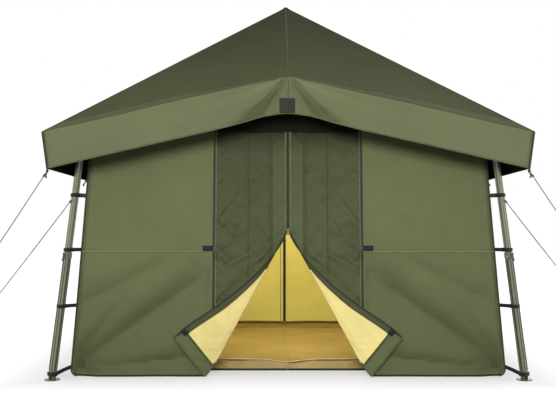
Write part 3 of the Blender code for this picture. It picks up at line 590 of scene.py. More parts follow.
def finish_table():
    """The maker of each finish and what it takes."""
    tones = bpy.context.scene.tent_colours
    pitch, edge = sizes().thread, sizes().seam / 2
    return {
        # The roof darkens towards the peak: painted shade
        "roof": (woven, tones.roof, pitch, 0.12, 4.0, 0.93, 1.06, (1.95, 2.9, 0.6)),
        "eave": (woven, scaled(tones.valance, 0.54), pitch, 0.12, 4.0),
        # Inner faces of the canopy: the roof cloth darkened, painted shade
        "underside": (woven, scaled(tones.roof, 0.6), pitch, 0.3, 5.0),
        "valance": (woven, tones.valance, pitch, 0.2, 6.0, 0.93, 1.06),
        # Walls darken towards the foot: painted shade
        "wall": (woven, tones.wall, pitch, 0.3, 5.0, 0.93, 1.06, (0.9, 0.0, 0.3)),
        "wall_edge": (woven, scaled(tones.wall, 0.8), pitch, 0.3, 9.0, 0.85, 1.12, (0.9, 0.0, 0.3)),
        # The door cloth near black over the doorway: painted shadow under the valance
        "head": (woven, scaled(tones.door, 0.1), pitch, 0.3, 5.0),
        "lining": (woven, tones.lining, pitch, 0.3, 5.0, 0.93, 1.05),
        # The door darkens towards its top: painted shadow under the valance
        "door": (two_tone, tones.band, tones.door, BAND, pitch, (BAND, 0.128, 0.28), 1.0, (1.55, 1.73, 0.9)),
        "flap": (two_tone, scaled(tones.door, 0.9), tones.flap, FLAP_BAND, pitch, (0.077,), 0.3),
        "flap_hem": (two_tone, scaled(tones.wall, 0.85), tones.flap, FLAP_BAND, pitch, (0.077, 0.070), 0.3),
        "floor": (woven, tones.floor, 2 * pitch, 0.6, 9.0, 0.86, 1.1),
        "lip": (woven, tones.lip, 2 * pitch, 0.6, 8.0, 0.8, 1.12),
        "lip_shade": (sewn, tones.lip_shade, 0.003, 0.003),
        "sill": (sewn, tones.sill, 0.003, 0.006),
        "piping": (sewn, scaled(tones.wall, 0.3), 0.002, 0.002),
        "binding": (sewn, tones.binding, 0.002, edge - 0.003),
        "lining_seam": (sewn, scaled(tones.lining, 0.3), 0.002, 0.002),
        # This dark seam finish also colours the strip under the wall seam, a painted shadow
        "stitched": (sewn, scaled(tones.wall, 0.72), 0.002, edge - 0.002),
        "roof_seam": (sewn, scaled(tones.roof, 0.6), 0.002, edge - 0.003),
        # The wall seam's lighter finish is a painted highlight on the seam's upper edge
        "wall_seam": (sewn, scaled(tones.wall, 1.3), 0.002, 0.002),
        "valance_seam": (sewn, scaled(tones.valance, 0.62), 0.002, edge - 0.003),
        "webbing": (sewn, tones.webbing, 0.0022, sizes().webbing / 2 - 0.003, 0.7),
        "patch": (sewn, tones.patch, 0.0016, 0.051, 0.6),
        "tape": (sewn, tones.tape, 0.0012, 0.004),
        "leaf_tape": (sewn, scaled(tones.band, 0.8), 0.0012, 0.003),
        "dark_tape": (sewn, tones.dark_tape, 0.0012, 0.003),
        "coil": (toothed, tones.coil),
        "paint": (hard, tones.paint, 0.34, 0.0, 0.5, 240.0, 0.00015, 0.2),
        "low_paint": (hard, scaled(tones.paint, 0.66), 0.36, 0.0, 0.4, 240.0, 0.00015, 0.2),
        # Next: dark paint for the legs' narrow grooves and their wider strips of painted shade; then pale paint, a
        # painted highlight
        "groove": (hard, scaled(tones.paint, 0.12), 0.6),
        "bright": (hard, scaled(tones.paint, 2.4), 0.25, 0.4, 0.5, 240.0, 0.0001, 0.1),
        "plastic": (hard, tones.plastic, 0.42, 0.0, 0.0, 500.0, 0.0002, 0.15),
        "steel": (hard, tones.steel, 0.3, 0.9, 0.0, 300.0, 0.0001, 0.1),
        "casting": (hard, tones.casting, 0.45, 0.8, 0.0, 180.0, 0.0004, 0.2),
        "rope": (laid_rope, tones.rope),
    }


def finish(name):
    """One of the tent's finishes, made when it is first asked for."""
    found = bpy.data.materials.get(f"tent_{name}")
    if found:
        return found
    maker, *values = finish_table()[name]
    return maker(f"tent_{name}", *values)


# Making pieces


def linked(name, data):
    """A new object in the scene."""
    obj = bpy.data.objects.new(name, data)
    bpy.context.scene.collection.objects.link(obj)
    return obj


def piece(name, bm, finishes, body, slot, replaces=(), squash=None):
    """An object at the origin from a bmesh, riding on a CAD body."""
    mesh = bpy.data.meshes.new(name)
    bm.to_mesh(mesh)
    bm.free()
    for made in finishes:
        mesh.materials.append(finish(made))
    mesh.shade_smooth()
    mesh.set_sharp_from_angle(angle=SHARP)
    obj = linked(name, mesh)
    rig.ride(obj, body)
    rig.slot(obj, slot)
    if replaces:
        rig.replaces(obj, *replaces)
    if squash:
        axis, keep = squash
        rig.squash(obj, FOLD, axis=axis, anchor=(0, 0, 1), keep=keep)
    return obj


def thicken(obj, depth=None, lining=True):
    """Gives a sheet the cloth's thickness, or another."""
    made = obj.modifiers.new("cloth", "SOLIDIFY")
    made.thickness = depth or sizes().cloth
    made.offset = -1
    made.use_even_offset = True
    made.material_offset = 1 if lining else 0
    return obj


def grid(columns, rows, place, uv=None, keep=None, turned=False, tone=None):
    """A sheet: place gives each crossing its point, uv its cloth coordinates, tone each cell's material."""
    bm = bmesh.new()
    bmesh.ops.create_grid(bm, x_segments=columns, y_segments=rows, size=0.5)
    index = {v: (round((v.co.x + 0.5) * columns), round((v.co.y + 0.5) * rows)) for v in bm.verts}
    corner = {f: min(index[v] for v in f.verts) for f in bm.faces}
    layer = bm.loops.layers.uv.new("UVMap")
    points = {ij: place(*ij) for ij in index.values()}
    for face in bm.faces:
        for loop in face.loops:
            ij = index[loop.vert]
            loop[layer].uv = uv(*ij) if uv else (points[ij].x, points[ij].z)
    for face, ij in corner.items():
        face.material_index = tone(*ij) if tone else 0
    if keep:
        bmesh.ops.delete(bm, geom=[f for f, ij in corner.items() if not keep(*ij)], context="FACES")
        index = {v: ij for v, ij in index.items() if v.is_valid}
    for vert, ij in index.items():
        vert.co = points[ij]
    bmesh.ops.remove_doubles(bm, verts=bm.verts, dist=1e-5)
    if turned:
        bmesh.ops.reverse_faces(bm, faces=bm.faces)
    return bm


def ribbon_profile(width, depth):
    """A flat bar's section with softened edges, as (across, out) pairs."""
    w, d, r = width / 2, depth, min(depth, width) * 0.3
    return [(-w, 0), (-w, d - r), (-w + r, d), (0, d * 1.05), (w - r, d), (w, d - r), (w, 0)]


def round_profile(radius, sides=10):
    turns = [2 * math.pi * n / sides for n in range(sides)]
    return [(radius * math.sin(t), radius * math.cos(t)) for t in turns]


def sweep(points, profile, up, closed=False):
    """A solid bar that follows points: up, one direction or one for each point, says which way is out."""
    points = [Vector(p) for p in points]
    count, around = len(points), len(profile)
    ups = [Vector(up)] * count if isinstance(up, (tuple, Vector)) else [Vector(u) for u in up]
    frames, run = [], [0.0]
    for n, point in enumerate(points):
        before = points[n - 1] if n or closed else point
        after = points[(n + 1) % count] if n + 1 < count or closed else point
        along = (after - before).normalized()
        across = along.cross(ups[n]).normalized()
        frames.append((across, across.cross(along).normalized()))
        if n:
            run.append(run[-1] + (point - points[n - 1]).length)
    if closed:
        run.append(run[-1] + (points[0] - points[-1]).length)
    rows = count if closed else count - 1

    def place(i, j):
        across, out = frames[j % count]
        a, o = profile[i % around]
        return points[j % count] + across * a + out * o

    def uv(i, j):
        return profile[min(i, around - 1)][0], run[j]

    bm = grid(around, rows, place, uv)
    if not closed:
        bmesh.ops.holes_fill(bm, edges=[e for e in bm.edges if e.is_boundary])
    bmesh.ops.recalc_face_normals(bm, faces=bm.faces)
    return bm


def merged(*shapes):
    """Several bmeshes as one, with their UVs."""
    bm = bmesh.new()
    for shape in shapes:
        mesh = bpy.data.meshes.new("shape")
        shape.to_mesh(mesh)
        shape.free()
        bm.from_mesh(mesh)
        bpy.data.meshes.remove(mesh)
    return bm


def moved(bm, matrix):
    """The shape in another place."""
    bmesh.ops.transform(bm, matrix=matrix, verts=bm.verts)
    return bm


def painted(bm, index):
    """The shape with all its faces in one material slot."""
    for face in bm.faces:
        face.material_index = index
    return bm


def soften(bm, edges, reach, segments):
    """Rounds edges."""
    bmesh.ops.bevel(bm, geom=edges, offset=reach, segments=segments, profile=0.5, affect="EDGES", material=-1)


def block(low, high, edge=0.0, segments=3):
    """A box with rounded edges."""
    bm = bmesh.new()
    size = Vector(high) - Vector(low)
    middle = (Vector(high) + Vector(low)) / 2
    bmesh.ops.create_cube(bm, size=1, matrix=Matrix.Translation(middle) @ Matrix.Diagonal((*size, 1)))
    if edge:
        soften(bm, bm.edges[:], edge, segments)
    return bm


def turned_shape(outline, steps=40):
    """A body of revolution about Z from (radius, height) pairs, closed where it ends on the axis."""
    bm = bmesh.new()
    verts = [bm.verts.new((r, 0, z)) for r, z in outline]
    edges = [bm.edges.new(pair) for pair in zip(verts, verts[1:])]
    if outline[0][0] > 1e-6:
        edges.append(bm.edges.new((verts[-1], verts[0])))
    bmesh.ops.spin(
        bm, geom=verts + edges, cent=(0, 0, 0), axis=(0, 0, 1), angle=2 * math.pi, steps=steps, use_merge=True
    )
    bmesh.ops.remove_doubles(bm, verts=bm.verts, dist=1e-6)
    bmesh.ops.recalc_face_normals(bm, faces=bm.faces)
    return bm


def peg(radius, start, end, turn=None, sides=20, edge=0.0006):
    """A pin along Z, or along a turned axis, with rounded rims."""
    edge = min(edge, radius * 0.5)
    bm = turned_shape(
        [
            (0, start), (radius - edge, start), (radius, start + edge), (radius, end - edge),
            (radius - edge, end), (0, end)
        ],
        sides,
    )
    return moved(bm, turn or Matrix())


def ring(centre, normal, radius=RING_RADIUS, wire=RING_WIRE):
    """A round wire ring."""
    outline = [
        (radius + wire * math.cos(t), wire * math.sin(t)) for t in (2 * math.pi * n / 10 for n in range(10))
    ]
    turn = Vector(normal).to_track_quat("Z", "Y").to_matrix().to_4x4()
    return moved(turned_shape(outline, 36), Matrix.Translation(centre) @ turn)


# The tent's surfaces


def mix(a, b, share):
    return a + (b - a) * share


def spread(low, high, count):
    """Even steps from low to high, both included."""
    return [mix(low, high, n / count) for n in range(count + 1)]


def bell(gap, width):
    """1 at no gap, falling to 0 on both sides."""
    return math.exp(-((gap / width) ** 2))


def smooth(value):
    """A soft step from 0 to 1."""
    value = min(1.0, max(0.0, value))
    return value * value * (3 - 2 * value)


def grain(x, y, scale, seed):
    return noise.noise(Vector((x * scale, y * scale, seed * 5.37)))


def ridge(x, y, scale, seed):
    """Creases: 1 along them and 0 between them."""
    return max(0.0, 1 - 3 * abs(grain(x, y, scale, seed))) ** 2


def roof_height(x, y):
    """The canopy's height where it is flat between its seams."""
    x, y = abs(x), abs(y)
    if x >= y:
        return PEAK - SIDE_SLOPE * x
    return PEAK - MIDDLE_SLOPE * y - (SIDE_SLOPE - MIDDLE_SLOPE) * x


def wall_half(z):
    """Half a wall's width, and its distance from the middle, at a height."""
    return WALL - LEAN * z


def hem_height(x, raised):
    """The height of the valance's hem, which rises to the middle at the raised eaves."""
    low = EAVE_Z - DROP
    if not raised:
        return low
    top = EAVE_Z + EAVE_RISE - MIDDLE_DROP
    full = math.hypot(EAVE - TUCK, ARCH) - ARCH
    return top - (top - low) * (math.hypot(x, ARCH) - ARCH) / full


def canopy_point(way, share, out):
    """A point of the canopy's top: share runs from -1 to 1 across a panel, out from the peak to the eave."""
    raised = way in ENDS
    x = share * (out - SEAM_GAP)
    z = PEAK - SIDE_SLOPE * out
    if raised:
        z += (SIDE_SLOPE - MIDDLE_SLOPE) * (out - math.hypot(x, 0.018) + 0.018 * (1 - out / EAVE))
    bay = math.sin(math.pi * abs(share)) if raised else math.cos(math.pi * share / 2)
    down = (out - ROOF_START) / (EAVE - ROOF_START)
    z -= ROOF_SAG * bay * math.sin(math.pi * down)
    seed = 1 + 3 * list(TURNS).index(way)
    ruffle = sizes().ruffle
    loose = math.sin(math.pi * abs(share)) if raised else math.cos(math.pi * share / 2) ** 0.6
    rolls = 0.8 * grain(x, out, 1.6, seed) + 0.2 * ridge(x + out, x - out, 2.2, seed + 1)
    z -= ruffle * loose * smooth(down / 0.15) * rolls
    z -= 0.3 * ruffle * loose * bell(out - EAVE + 0.055, 0.022)
    return Matrix.Rotation(TURNS[way], 3, "Z") @ Vector((x, -out, z))


def valance_point(way, share, fall):
    """A point of the valance: fall runs from 0 at the eave to 1 at the hem."""
    raised = way in ENDS
    out = EAVE - TUCK * fall
    x = share * (out - SEAM_GAP)
    top = canopy_point(way, share, EAVE).z
    z = mix(top, hem_height(x, raised), fall)
    seed = 2 + 3 * list(TURNS).index(way)
    ends = math.cos(math.pi * share / 2) ** 0.5
    swing = 0.006 * fall * ends * math.sin(5.2 * x + seed) + 0.004 * fall * ends * grain(x, z, 3.5, seed)
    if raised:
        down = EAVE_Z + EAVE_RISE + 0.012 - z
        reach, turn = math.hypot(x, down), math.atan2(abs(x), max(down, 1e-6))
        strong = smooth(reach / 0.05) * math.exp(-reach / 0.6)
        tucked = 0.34 * max(0.0, down - 0.012) * (1 - smooth((turn - 0.48) / (0.26 + 0.5 * min(reach, 0.4))))
        swing -= tucked + 0.012 * strong * bell(turn - 0.74, 0.06)
        z += 0.33 * tucked
        swing += 0.010 * strong * bell(turn - 0.95 - 0.3 * reach, 0.12)
        swing -= 0.008 * strong * bell(turn - 0.32, 0.07)
        swing -= 0.008 * strong * bell(turn - 1.16 - 0.1 * reach, 0.06)
    swing += 0.002 * ridge(x, z, 4.0, seed + 1) * ends
    return Matrix.Rotation(TURNS[way], 3, "Z") @ Vector((x, -out - swing, z))


def panel_out(way, tilt=0.0):
    """Out of a canopy panel: tilt 0 is level, 1 straight up."""
    angle = tilt * math.pi / 2
    return Matrix.Rotation(TURNS[way], 3, "Z") @ Vector((0, -math.cos(angle), math.sin(angle)))


def valley(gap, above, below):
    """A fold's depth: gap is the height over its deepest line, above and below are its two widths."""
    return math.exp(-((abs(gap) / (above if gap > 0 else below)) ** 1.35))


def slanting_folds(across, z):
    """How far an end wall stands in, from the folds that run from the door's side down to the corner."""
    share = (across - DOOR) / (WALL - DOOR)
    if not 0 < share < 1:
        return 0.0
    ends = min(1.0, share / 0.25) ** 0.6 * smooth((1 - share) / 0.08) * smooth(z / 0.05)
    depth = valley(z - 0.73 + 0.68 * share, 0.105, 0.15) * ends
    depth += 0.40 * valley(z - 0.152 + 0.113 * share, 0.040, 0.03) * ends
    depth += 0.15 * valley(z - mix(0.085, 0.015, share), 0.020, 0.03) * ends
    depth += 0.30 * valley(z - 0.97 + 0.50 * share, 0.05, 0.11) * smooth((share - 0.15) / 0.3) * ends
    depth += 0.22 * valley(z - 1.29 + 1.18 * share, 0.05, 0.09) * smooth((share - 0.55) / 0.2) * ends
    depth += 0.14 * valley(z - mix(0.52, 0.02, share), 0.035, 0.07) * ends
    return sizes().fold * depth


def rounded_foot(z, edge=0.0):
    """How far a wall draws in at its foot, edge being the distance from the tent's corner."""
    rise = max(0.0, FOOT_RADIUS - z)
    fade = 1 - smooth(edge / 0.16)
    return fade * (FOOT_RADIUS - math.sqrt(max(0.0, FOOT_RADIUS * FOOT_RADIUS - rise**2)))


def door_side(z):
    """Half the doorway's width, which widens at the foot where the folded corners pull the walls aside."""
    return DOOR + DOOR_SPREAD * smooth(1 - z / 0.10)


def wall_reach(z):
    """Half a wall's width with its rounded foot."""
    return wall_half(z) - rounded_foot(z)


def wall_relief(across, z, edge, seed):
    """How far a wall's small unevenness stands in."""
    ruffle, gap = sizes().ruffle, edge - abs(across)
    inner = smooth(gap / 0.12)
    near = math.exp(-gap / 0.22) * smooth(gap / 0.03)
    rolls = 0.9 * grain(across, z, 1.9, seed) + 0.30 * grain(across, z, 5.0, seed + 1)
    inward = ruffle * inner * smooth(z / 0.1) * rolls
    inward += 0.45 * ruffle * inner * ridge(across + 0.3 * z, 0.45 * z, 4.0, seed + 2)
    inward += 0.25 * ruffle * inner * ridge(0.35 * across, z + 0.2 * across, 7.0, seed + 3)
    for held in PULLS:
        inward -= 0.006 * near * bell(z - held - 0.1 * gap, 0.022)
    return inward


def end_wall_point(sign, x, z):
    """A point of the front or rear wall's outer face."""
    inward = slanting_folds(abs(x), z) + wall_relief(x, z, wall_half(z), 31 if sign < 0 else 47)
    tight = smooth((abs(x) - DOOR) / 0.05) if sign < 0 else 1.0
    half = wall_half(z)
    return Vector((x, sign * (half - inward * tight - rounded_foot(z, half - abs(x) - rounded_foot(z))), z))


def side_wall_point(sign, y, z):
    """A point of a side wall's outer face."""
    reach = wall_half(z)
    fall = bell(z - 0.35, 0.3)
    inward = 0.0066 * fall * abs(math.sin(2 * math.pi * y / SIDE_WAVE)) * math.cos(math.pi * y / (2 * reach))
    share = abs(y) / WALL
    slant = 0.05 + 0.62 * (1 - share) ** 1.1
    inward += 0.012 * math.exp(-((abs(z - slant) / 0.05) ** 1.3)) * math.sin(math.pi * share) ** 0.8
    inward += wall_relief(y, z, reach, 61 if sign < 0 else 83)
    return Vector((sign * (reach - inward - rounded_foot(z, reach - abs(y) - rounded_foot(z))), y, z))


def leg_reach(z):
    """The distance of a leg from the tent's middle at a height."""
    return FOOT_REACH - math.tan(LEG_LEAN) * z


def corner_place(corner):
    """The turn from the X axis to a corner."""
    x, y = CORNERS[corner]
    return Matrix.Rotation(math.atan2(y, x), 4, "Z")


def leg_place(corner):
    """The place of a leg, hanging from its elbow."""
    pivot = Matrix.Translation((leg_reach(ELBOW_Z), 0, ELBOW_Z))
    return corner_place(corner) @ pivot @ Matrix.Rotation(-LEG_LEAN, 4, "Y")


def arm_place(turn, slope):
    """The place of a roof arm, starting at its pivot in the hub."""
    return turn @ Matrix.Translation((HUB_PIVOT, 0, HUB_Z)) @ Matrix.Rotation(slope, 4, "Y")


def fold_edge(z):
    """Where a door leaf's fold, or its zip edge above the slider, runs."""
    return CENTRE_GAP + (FOLD_FOOT - CENTRE_GAP) * max(0.0, 1 - z / APEX_Z)


def leaf_point(sign, x, z):
    """A point of a door leaf's flat part."""
    inner = smooth(min(abs(x) - fold_edge(z), DOOR - abs(x)) / 0.05)
    loose = inner * smooth((x - 0.09) / 0.05)
    inward = 0.010 * loose * grain(x, z, 3.0, 91 + sign) + 0.003 * inner * grain(x, z, 5.0, 103)
    inward += 0.014 * loose * noise.noise(Vector((8 * (z - x), 2.2 * (x + z), 95 + sign)))
    inward += 0.006 * loose * noise.noise(Vector((19 * (z - x), 6.0 * (x + z), 99 + sign)))
    pucker = math.sin(66 * z + 3 * grain(x, z, 2.0, 109)) * bell(DOOR - x - 0.03, 0.025)
    inward += 0.006 * pucker * inner
    return Vector((sign * x, -wall_half(z) + inward, z))


def flap_point(sign, fold_z, share):
    """A point of the folded-out corner: share runs from 0 at the fold to 1 at the zip edge."""
    along = min(1.0, max(0.0, (APEX_Z - fold_z) / (APEX_Z - LAST)))
    tip_x = mix(CENTRE_GAP, FLAP_REACH, along**1.25)
    tip_z = mix(APEX_Z, FLAP_TIP_Z, along**0.85) + 0.020 * math.sin(math.pi * along**5)
    x = mix(fold_edge(fold_z), tip_x, share)
    z = mix(fold_z, tip_z, share) - FLAP_DIP * along**4 * min(share / FLAP_LOW, (1 - share) / (1 - FLAP_LOW))
    out = 2 * FOLD_RADIUS + FLAP_STAND_OFF * share
    crease = 0.008 * math.sin(math.pi * min(1.0, share * 1.1)) * along
    out += crease * (0.7 * grain(x * sign, z, 7.0, 105) + 0.8 * ridge(x * sign + z, 0.5 * z, 5.5, 107) + 0.25)
    out += 0.006 * along * share * math.sin(14 * along + 2 * sign)
    return Vector((sign * x, -wall_half(z) - out, z))


# Ropes and their ends


def rope_route(corner, start, clear, reach):
    """The line that the CAD's rope follows towards its anchor at reach, its way and the level across it."""
    x, y = CORNERS[corner]
    held = Vector((x * start[0], y * start[0], start[1]))
    anchor = Vector((x * reach, y * reach, 0))
    way = (anchor - held).normalized()
    first = held + way * clear
    end = held.lerp(anchor, (GUY_END - start[0]) / (reach - start[0]))
    points = [first.lerp(end, s) - Vector((0, 0, 4 * GUY_SAG * s * (1 - s))) for s in spread(0, 1, 24)]
    return points, way, Vector((-y, x, 0))


def knot(point, way, turns=4, reach=0.0036):
    """Whipping where a rope is tied back on itself."""
    side = way.orthogonal().normalized()
    other = way.cross(side)
    count = turns * 12
    route = [
        point + way * (0.012 + 0.0034 * n / 12) + (side * math.cos(t) + other * math.sin(t)) * reach
        for n, t in ((n, 2 * math.pi * n / 12) for n in range(count + 1))
    ]
    outs = [p - point - way * (p - point).dot(way) for p in route]
    return sweep(route, round_profile(0.0005 + 0.3 * reach, 8), outs)


def add_rope(name, corner, body, start, clear, reach):
    """A guy rope with its knots and end ring."""
    points, way, level = rope_route(corner, start, clear, reach)
    across = way.cross(level)
    line = sweep(points, round_profile(GUY_RADIUS, 12), across)
    rope = piece(f"rope_{name}", line, ["rope"], body, "rope", [f"guy_{name}"])
    eye = ring(points[-1] + way * RING_CLEAR, across)
    end = piece(f"rope_ring_{name}", eye, ["steel"], body, "wire", [f"guy_ring_{name}"])
    knots = merged(knot(points[0], way, 6, 0.0050), knot(points[-1], -way))
    tied = piece(f"rope_knot_{name}", knots, ["rope"], body, "rope")
    run = sum((b - a).length for a, b in zip(points, points[1:]))
    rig.cord(
        rope, exit=points[0], length=run, diameter=2 * GUY_RADIUS, far_end="fitting", stiffness="limp",
        lay="taut", path=points, with_pieces=[end, tied],
    )


class TENT_OT_ropes(bpy.types.Operator):
    """Adds the four guy ropes of the front corners with their knots and end rings"""

    bl_idname = "tent.ropes"
    bl_label = "Add Guy Ropes"

    def execute(self, context):
        leg = leg_reach(LOWER_GUY_Z) + LEG_SIDE / 2 / math.cos(LEG_LEAN)
        low = (leg / math.sqrt(2), LOWER_GUY_Z)
        for side in SIDES:
            corner = f"front_{side}"
            add_rope(f"upper_{side}", corner, f"hook_{corner}", (HOOK_OUT, HOOK_Z), RING_CLEAR, GUY_ANCHOR)
            add_rope(
                f"lower_{side}", corner, f"leg_upper_{corner}", low, 2 * GUY_RADIUS + 0.0003, LOWER_GUY_ANCHOR
            )
        return {"FINISHED"}


# Canopy


def add_seam(name, points, out, cloth, body, slot, squash=None, width=None, depth=0.0018, lift=-0.0006):
    """A sewn strip along points of a surface, lifted from it towards out."""
    away = Vector(out).normalized() * lift
    bm = sweep([p + away for p in points], ribbon_profile(width or sizes().seam, depth), out)
    return piece(name, bm, [cloth], body, slot, squash=squash)


def canopy_panel(way):
    """One of the four canopy panels with its valance, its facing and its seams."""
    raised = way in ENDS
    columns, down, hang = (190 if raised else 110), 56, (34 if raised else 12)
    reach = EAVE - ROOF_START

    def along(i):
        even = 2 * i / columns - 1
        return even * (0.5 + 0.5 * even * even) if raised else even

    def place(i, j):
        share = along(i)
        if j <= down:
            return canopy_point(way, share, mix(ROOF_START, EAVE, 1 - (1 - j / down) ** 1.25))
        return valance_point(way, share, (j - down) / hang)

    def uv(i, j):
        wide = along(i) * (EAVE if j > down else mix(ROOF_START, EAVE, j / down))
        return wide, -(j / down * reach * 1.2 if j <= down else reach * 1.2 + (j - down) / hang * 0.25)

    bm = grid(columns, down + hang, place, uv, turned=True, tone=lambda i, j: 2 if j >= down else 0)
    body, squash = (f"arm_{way}_middle", CANOPY_X) if raised else (f"roof_{way}", CANOPY_Y)
    # The inner faces take the darker underside finish, painted shade
    cloths = ["roof", "underside", "valance", "underside"]
    obj = thicken(piece(f"canopy_{way}", bm, cloths, body, "roof_cloth", [f"roof_{way}"], squash))
    level, slanted = panel_out(way), panel_out(way, 0.6)

    def facing(i, j):
        share = 2 * i / 120 - 1
        fade = smooth(abs(share) / 0.6) if raised else 1.0
        low = EAVE - 0.003
        return canopy_point(way, share, mix(low, EAVE - 0.016 - 0.088 * fade, j / 4)) + 0.0012 * slanted

    band = grid(120, 4, facing, lambda i, j: (i * 0.027, j * 0.02), turned=True)
    trim = [thicken(piece(f"facing_{way}", band, ["eave"], body, "roof_cloth", squash=squash), 0.0008, False)]

    def sew(kind, points, out, cloth, width=None):
        trim.append(add_seam(f"{kind}_{way}", points, out, cloth, body, "roof_cloth", squash, width))

    shares = spread(-1, 1, 60)
    fades = [(s, smooth(abs(s) / 0.6) if raised else 1.0) for s in shares]
    sew("hem_canopy", [valance_point(way, s, 0.972) for s in shares], level, "valance_seam")
    for kind, start, rise in (("seam_eave", 0.012, 0.022), ("seam_roof", 0.016, 0.088)):
        points = [canopy_point(way, s, EAVE - start - rise * f) for s, f in fades]
        sew(kind, points, slanted, "roof_seam", 0.010)
    if raised:
        run = spread(ROOF_START + 0.005, EAVE - 0.012, 40)
        sew("seam_spine", [canopy_point(way, 0.0, out) for out in run], panel_out(way, 0.66), "roof_seam")
        falls = [0.02 + 0.94 * n / 40 for n in range(41)]
        sew("seam_front", [valance_point(way, 0.0, fall) for fall in falls], level, "valance_seam", 0.007)
    width, slope = 2 * EAVE, math.hypot(reach, reach * (MIDDLE_SLOPE if raised else SIDE_SLOPE))
    drop = 0.255 if raised else DROP
    cut = slope * (EAVE + ROOF_START) + drop * width
    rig.sheet(
        obj, flat=(width, slope + drop), area=cut, held="stretched", rests_on=["hub_crown"], with_pieces=trim
    )


def add_hips():
    """Piping over each corner arm and down the valance's corner."""
    for corner in CORNERS:
        turn = corner_place(corner)
        route, outs = [], []
        for n in range(49):
            out = mix(0.05, EAVE + 0.0005, n / 48)
            route.append(turn @ Vector((out * math.sqrt(2), 0, PEAK - SIDE_SLOPE * out - 0.002)))
            outs.append(turn.to_3x3() @ Vector((0.5, 0, 0.86)))
        for n in range(1, 13):
            fall = n / 12
            reach = (EAVE - TUCK * fall) * math.sqrt(2)
            route.append(turn @ Vector((reach, 0, mix(EAVE_Z, EAVE_Z - DROP, fall))))
            outs.append(turn.to_3x3() @ Vector((1, 0, 0.1)))
        half = [(0.003, 0.0042), (0.008, 0.0), (0.010, -0.006)]
        profile = [(-x, z) for x, z in reversed(half)] + half + [(0, 0.0)]
        piece(f"seam_hip_{corner}", sweep(route, profile, outs), ["roof_seam"], f"arm_{corner}", "roof_cloth")


def add_cap():
    """The cloth cap over the peak, with its rolled rim."""
    outline = [(0.0, PEAK + 0.004), (0.008, PEAK + 0.0035), (0.018, PEAK - 0.001)]
    outline += [
        (r, PEAK + 0.0045 - MIDDLE_SLOPE * r - 0.02 * (r - 0.02)) for r in (0.028, 0.038, 0.048, 0.056)
    ]
    rim = PEAK - MIDDLE_SLOPE * 0.06
    outline += [(0.060, rim + 0.0028), (0.0625, rim + 0.0012), (0.0625, rim - 0.001), (0.060, rim - 0.002)]
    outline += [(0.055, rim + 0.0015), (0.0, PEAK + 0.0005)]
    cap = piece("cap_peak", turned_shape(outline, 48), ["roof"], "hub", "roof_cloth", ["peak_cap"])
    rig.sheet(cap, flat=(0.13, 0.13), area=0.0148, held="stretched", rests_on=["hub_crown"])


def add_patch():
    """The bare square patch sewn on the front valance."""
    columns, middle_z = 24, hem_height(0, True) + 0.060

    def uv(i, j):
        return mix(-PATCH_HALF, PATCH_HALF, i / columns), mix(-PATCH_HALF, PATCH_HALF, j / columns)

    def place(i, j):
        across, up = uv(i, j)
        x = across - 0.006
        top = canopy_point("front", x / EAVE, EAVE).z
        fall = (top - (middle_z + up)) / (top - hem_height(x, True))
        return valance_point("front", x / (EAVE - TUCK * fall), fall) + Vector((0, -0.0036, 0))

    bm = grid(columns, columns, place, uv)
    patch = piece("patch_front", bm, ["patch"], "arm_front_middle", "black_fitting", squash=CANOPY_X)
    thicken(patch, 0.0012, False)


def hanging_hook(top, lean, slant=0.3):
    """A flat plastic hook on a webbing loop; lean is the way it slants out, slant how far for its height."""
    lean = Vector(lean).normalized()
    across = lean.cross(Vector((0, 0, 1))).normalized()
    down = (lean * slant - Vector((0, 0, 1))).normalized()
    turns = [math.pi * n / 8 for n in range(16)]
    loop = [top + down * (0.008 - 0.009 * math.cos(t)) + lean * 0.003 * math.sin(t) for t in turns]
    tab = sweep(loop, ribbon_profile(0.012, 0.0014), [p - top - down * 0.008 for p in loop], closed=True)
    shank = [top + down * (0.014 + 0.006 * n) for n in range(7)]
    bends = [math.pi * n / 10 for n in range(1, 9)]
    bow = [shank[-1] - lean * 0.006 * (1 - math.cos(t)) + down * 0.008 * math.sin(t) for t in bends]
    hook = sweep(shank + bow, round_profile(0.0048, 12), across)
    eye = ring(top + down * 0.014, across, 0.0065, 0.0024)
    return merged(painted(tab, 0), painted(hook, 1), painted(eye, 1))


def add_ties():
    """The small hooks that hang from the side valances, for tying the canopy down."""
    for side, sign in SIDES.items():
        for y in (-TIE_Y, TIE_Y):
            top = valance_point(side, 0.0, 0.97)
            top = Vector((top.x - sign * 0.001, y, top.z - 0.002))
            name = f"tie_hook_{side}_{'front' if y < 0 else 'rear'}"
            hook = hanging_hook(top, (sign, 0, 0.0), 0.7)
            piece(name, hook, ["webbing", "plastic"], f"roof_{side}", "black_fitting", squash=CANOPY_Y)


class TENT_OT_canopy(bpy.types.Operator):
    """Adds the canopy: four curved panels with their valances, seams, hems, hips and peak cap"""

    bl_idname = "tent.canopy"
    bl_label = "Add Canopy"

    def execute(self, context):
        for way in TURNS:
            canopy_panel(way)
        add_hips()
        add_cap()
        add_patch()
        add_ties()
        return {"FINISHED"}


# Walls


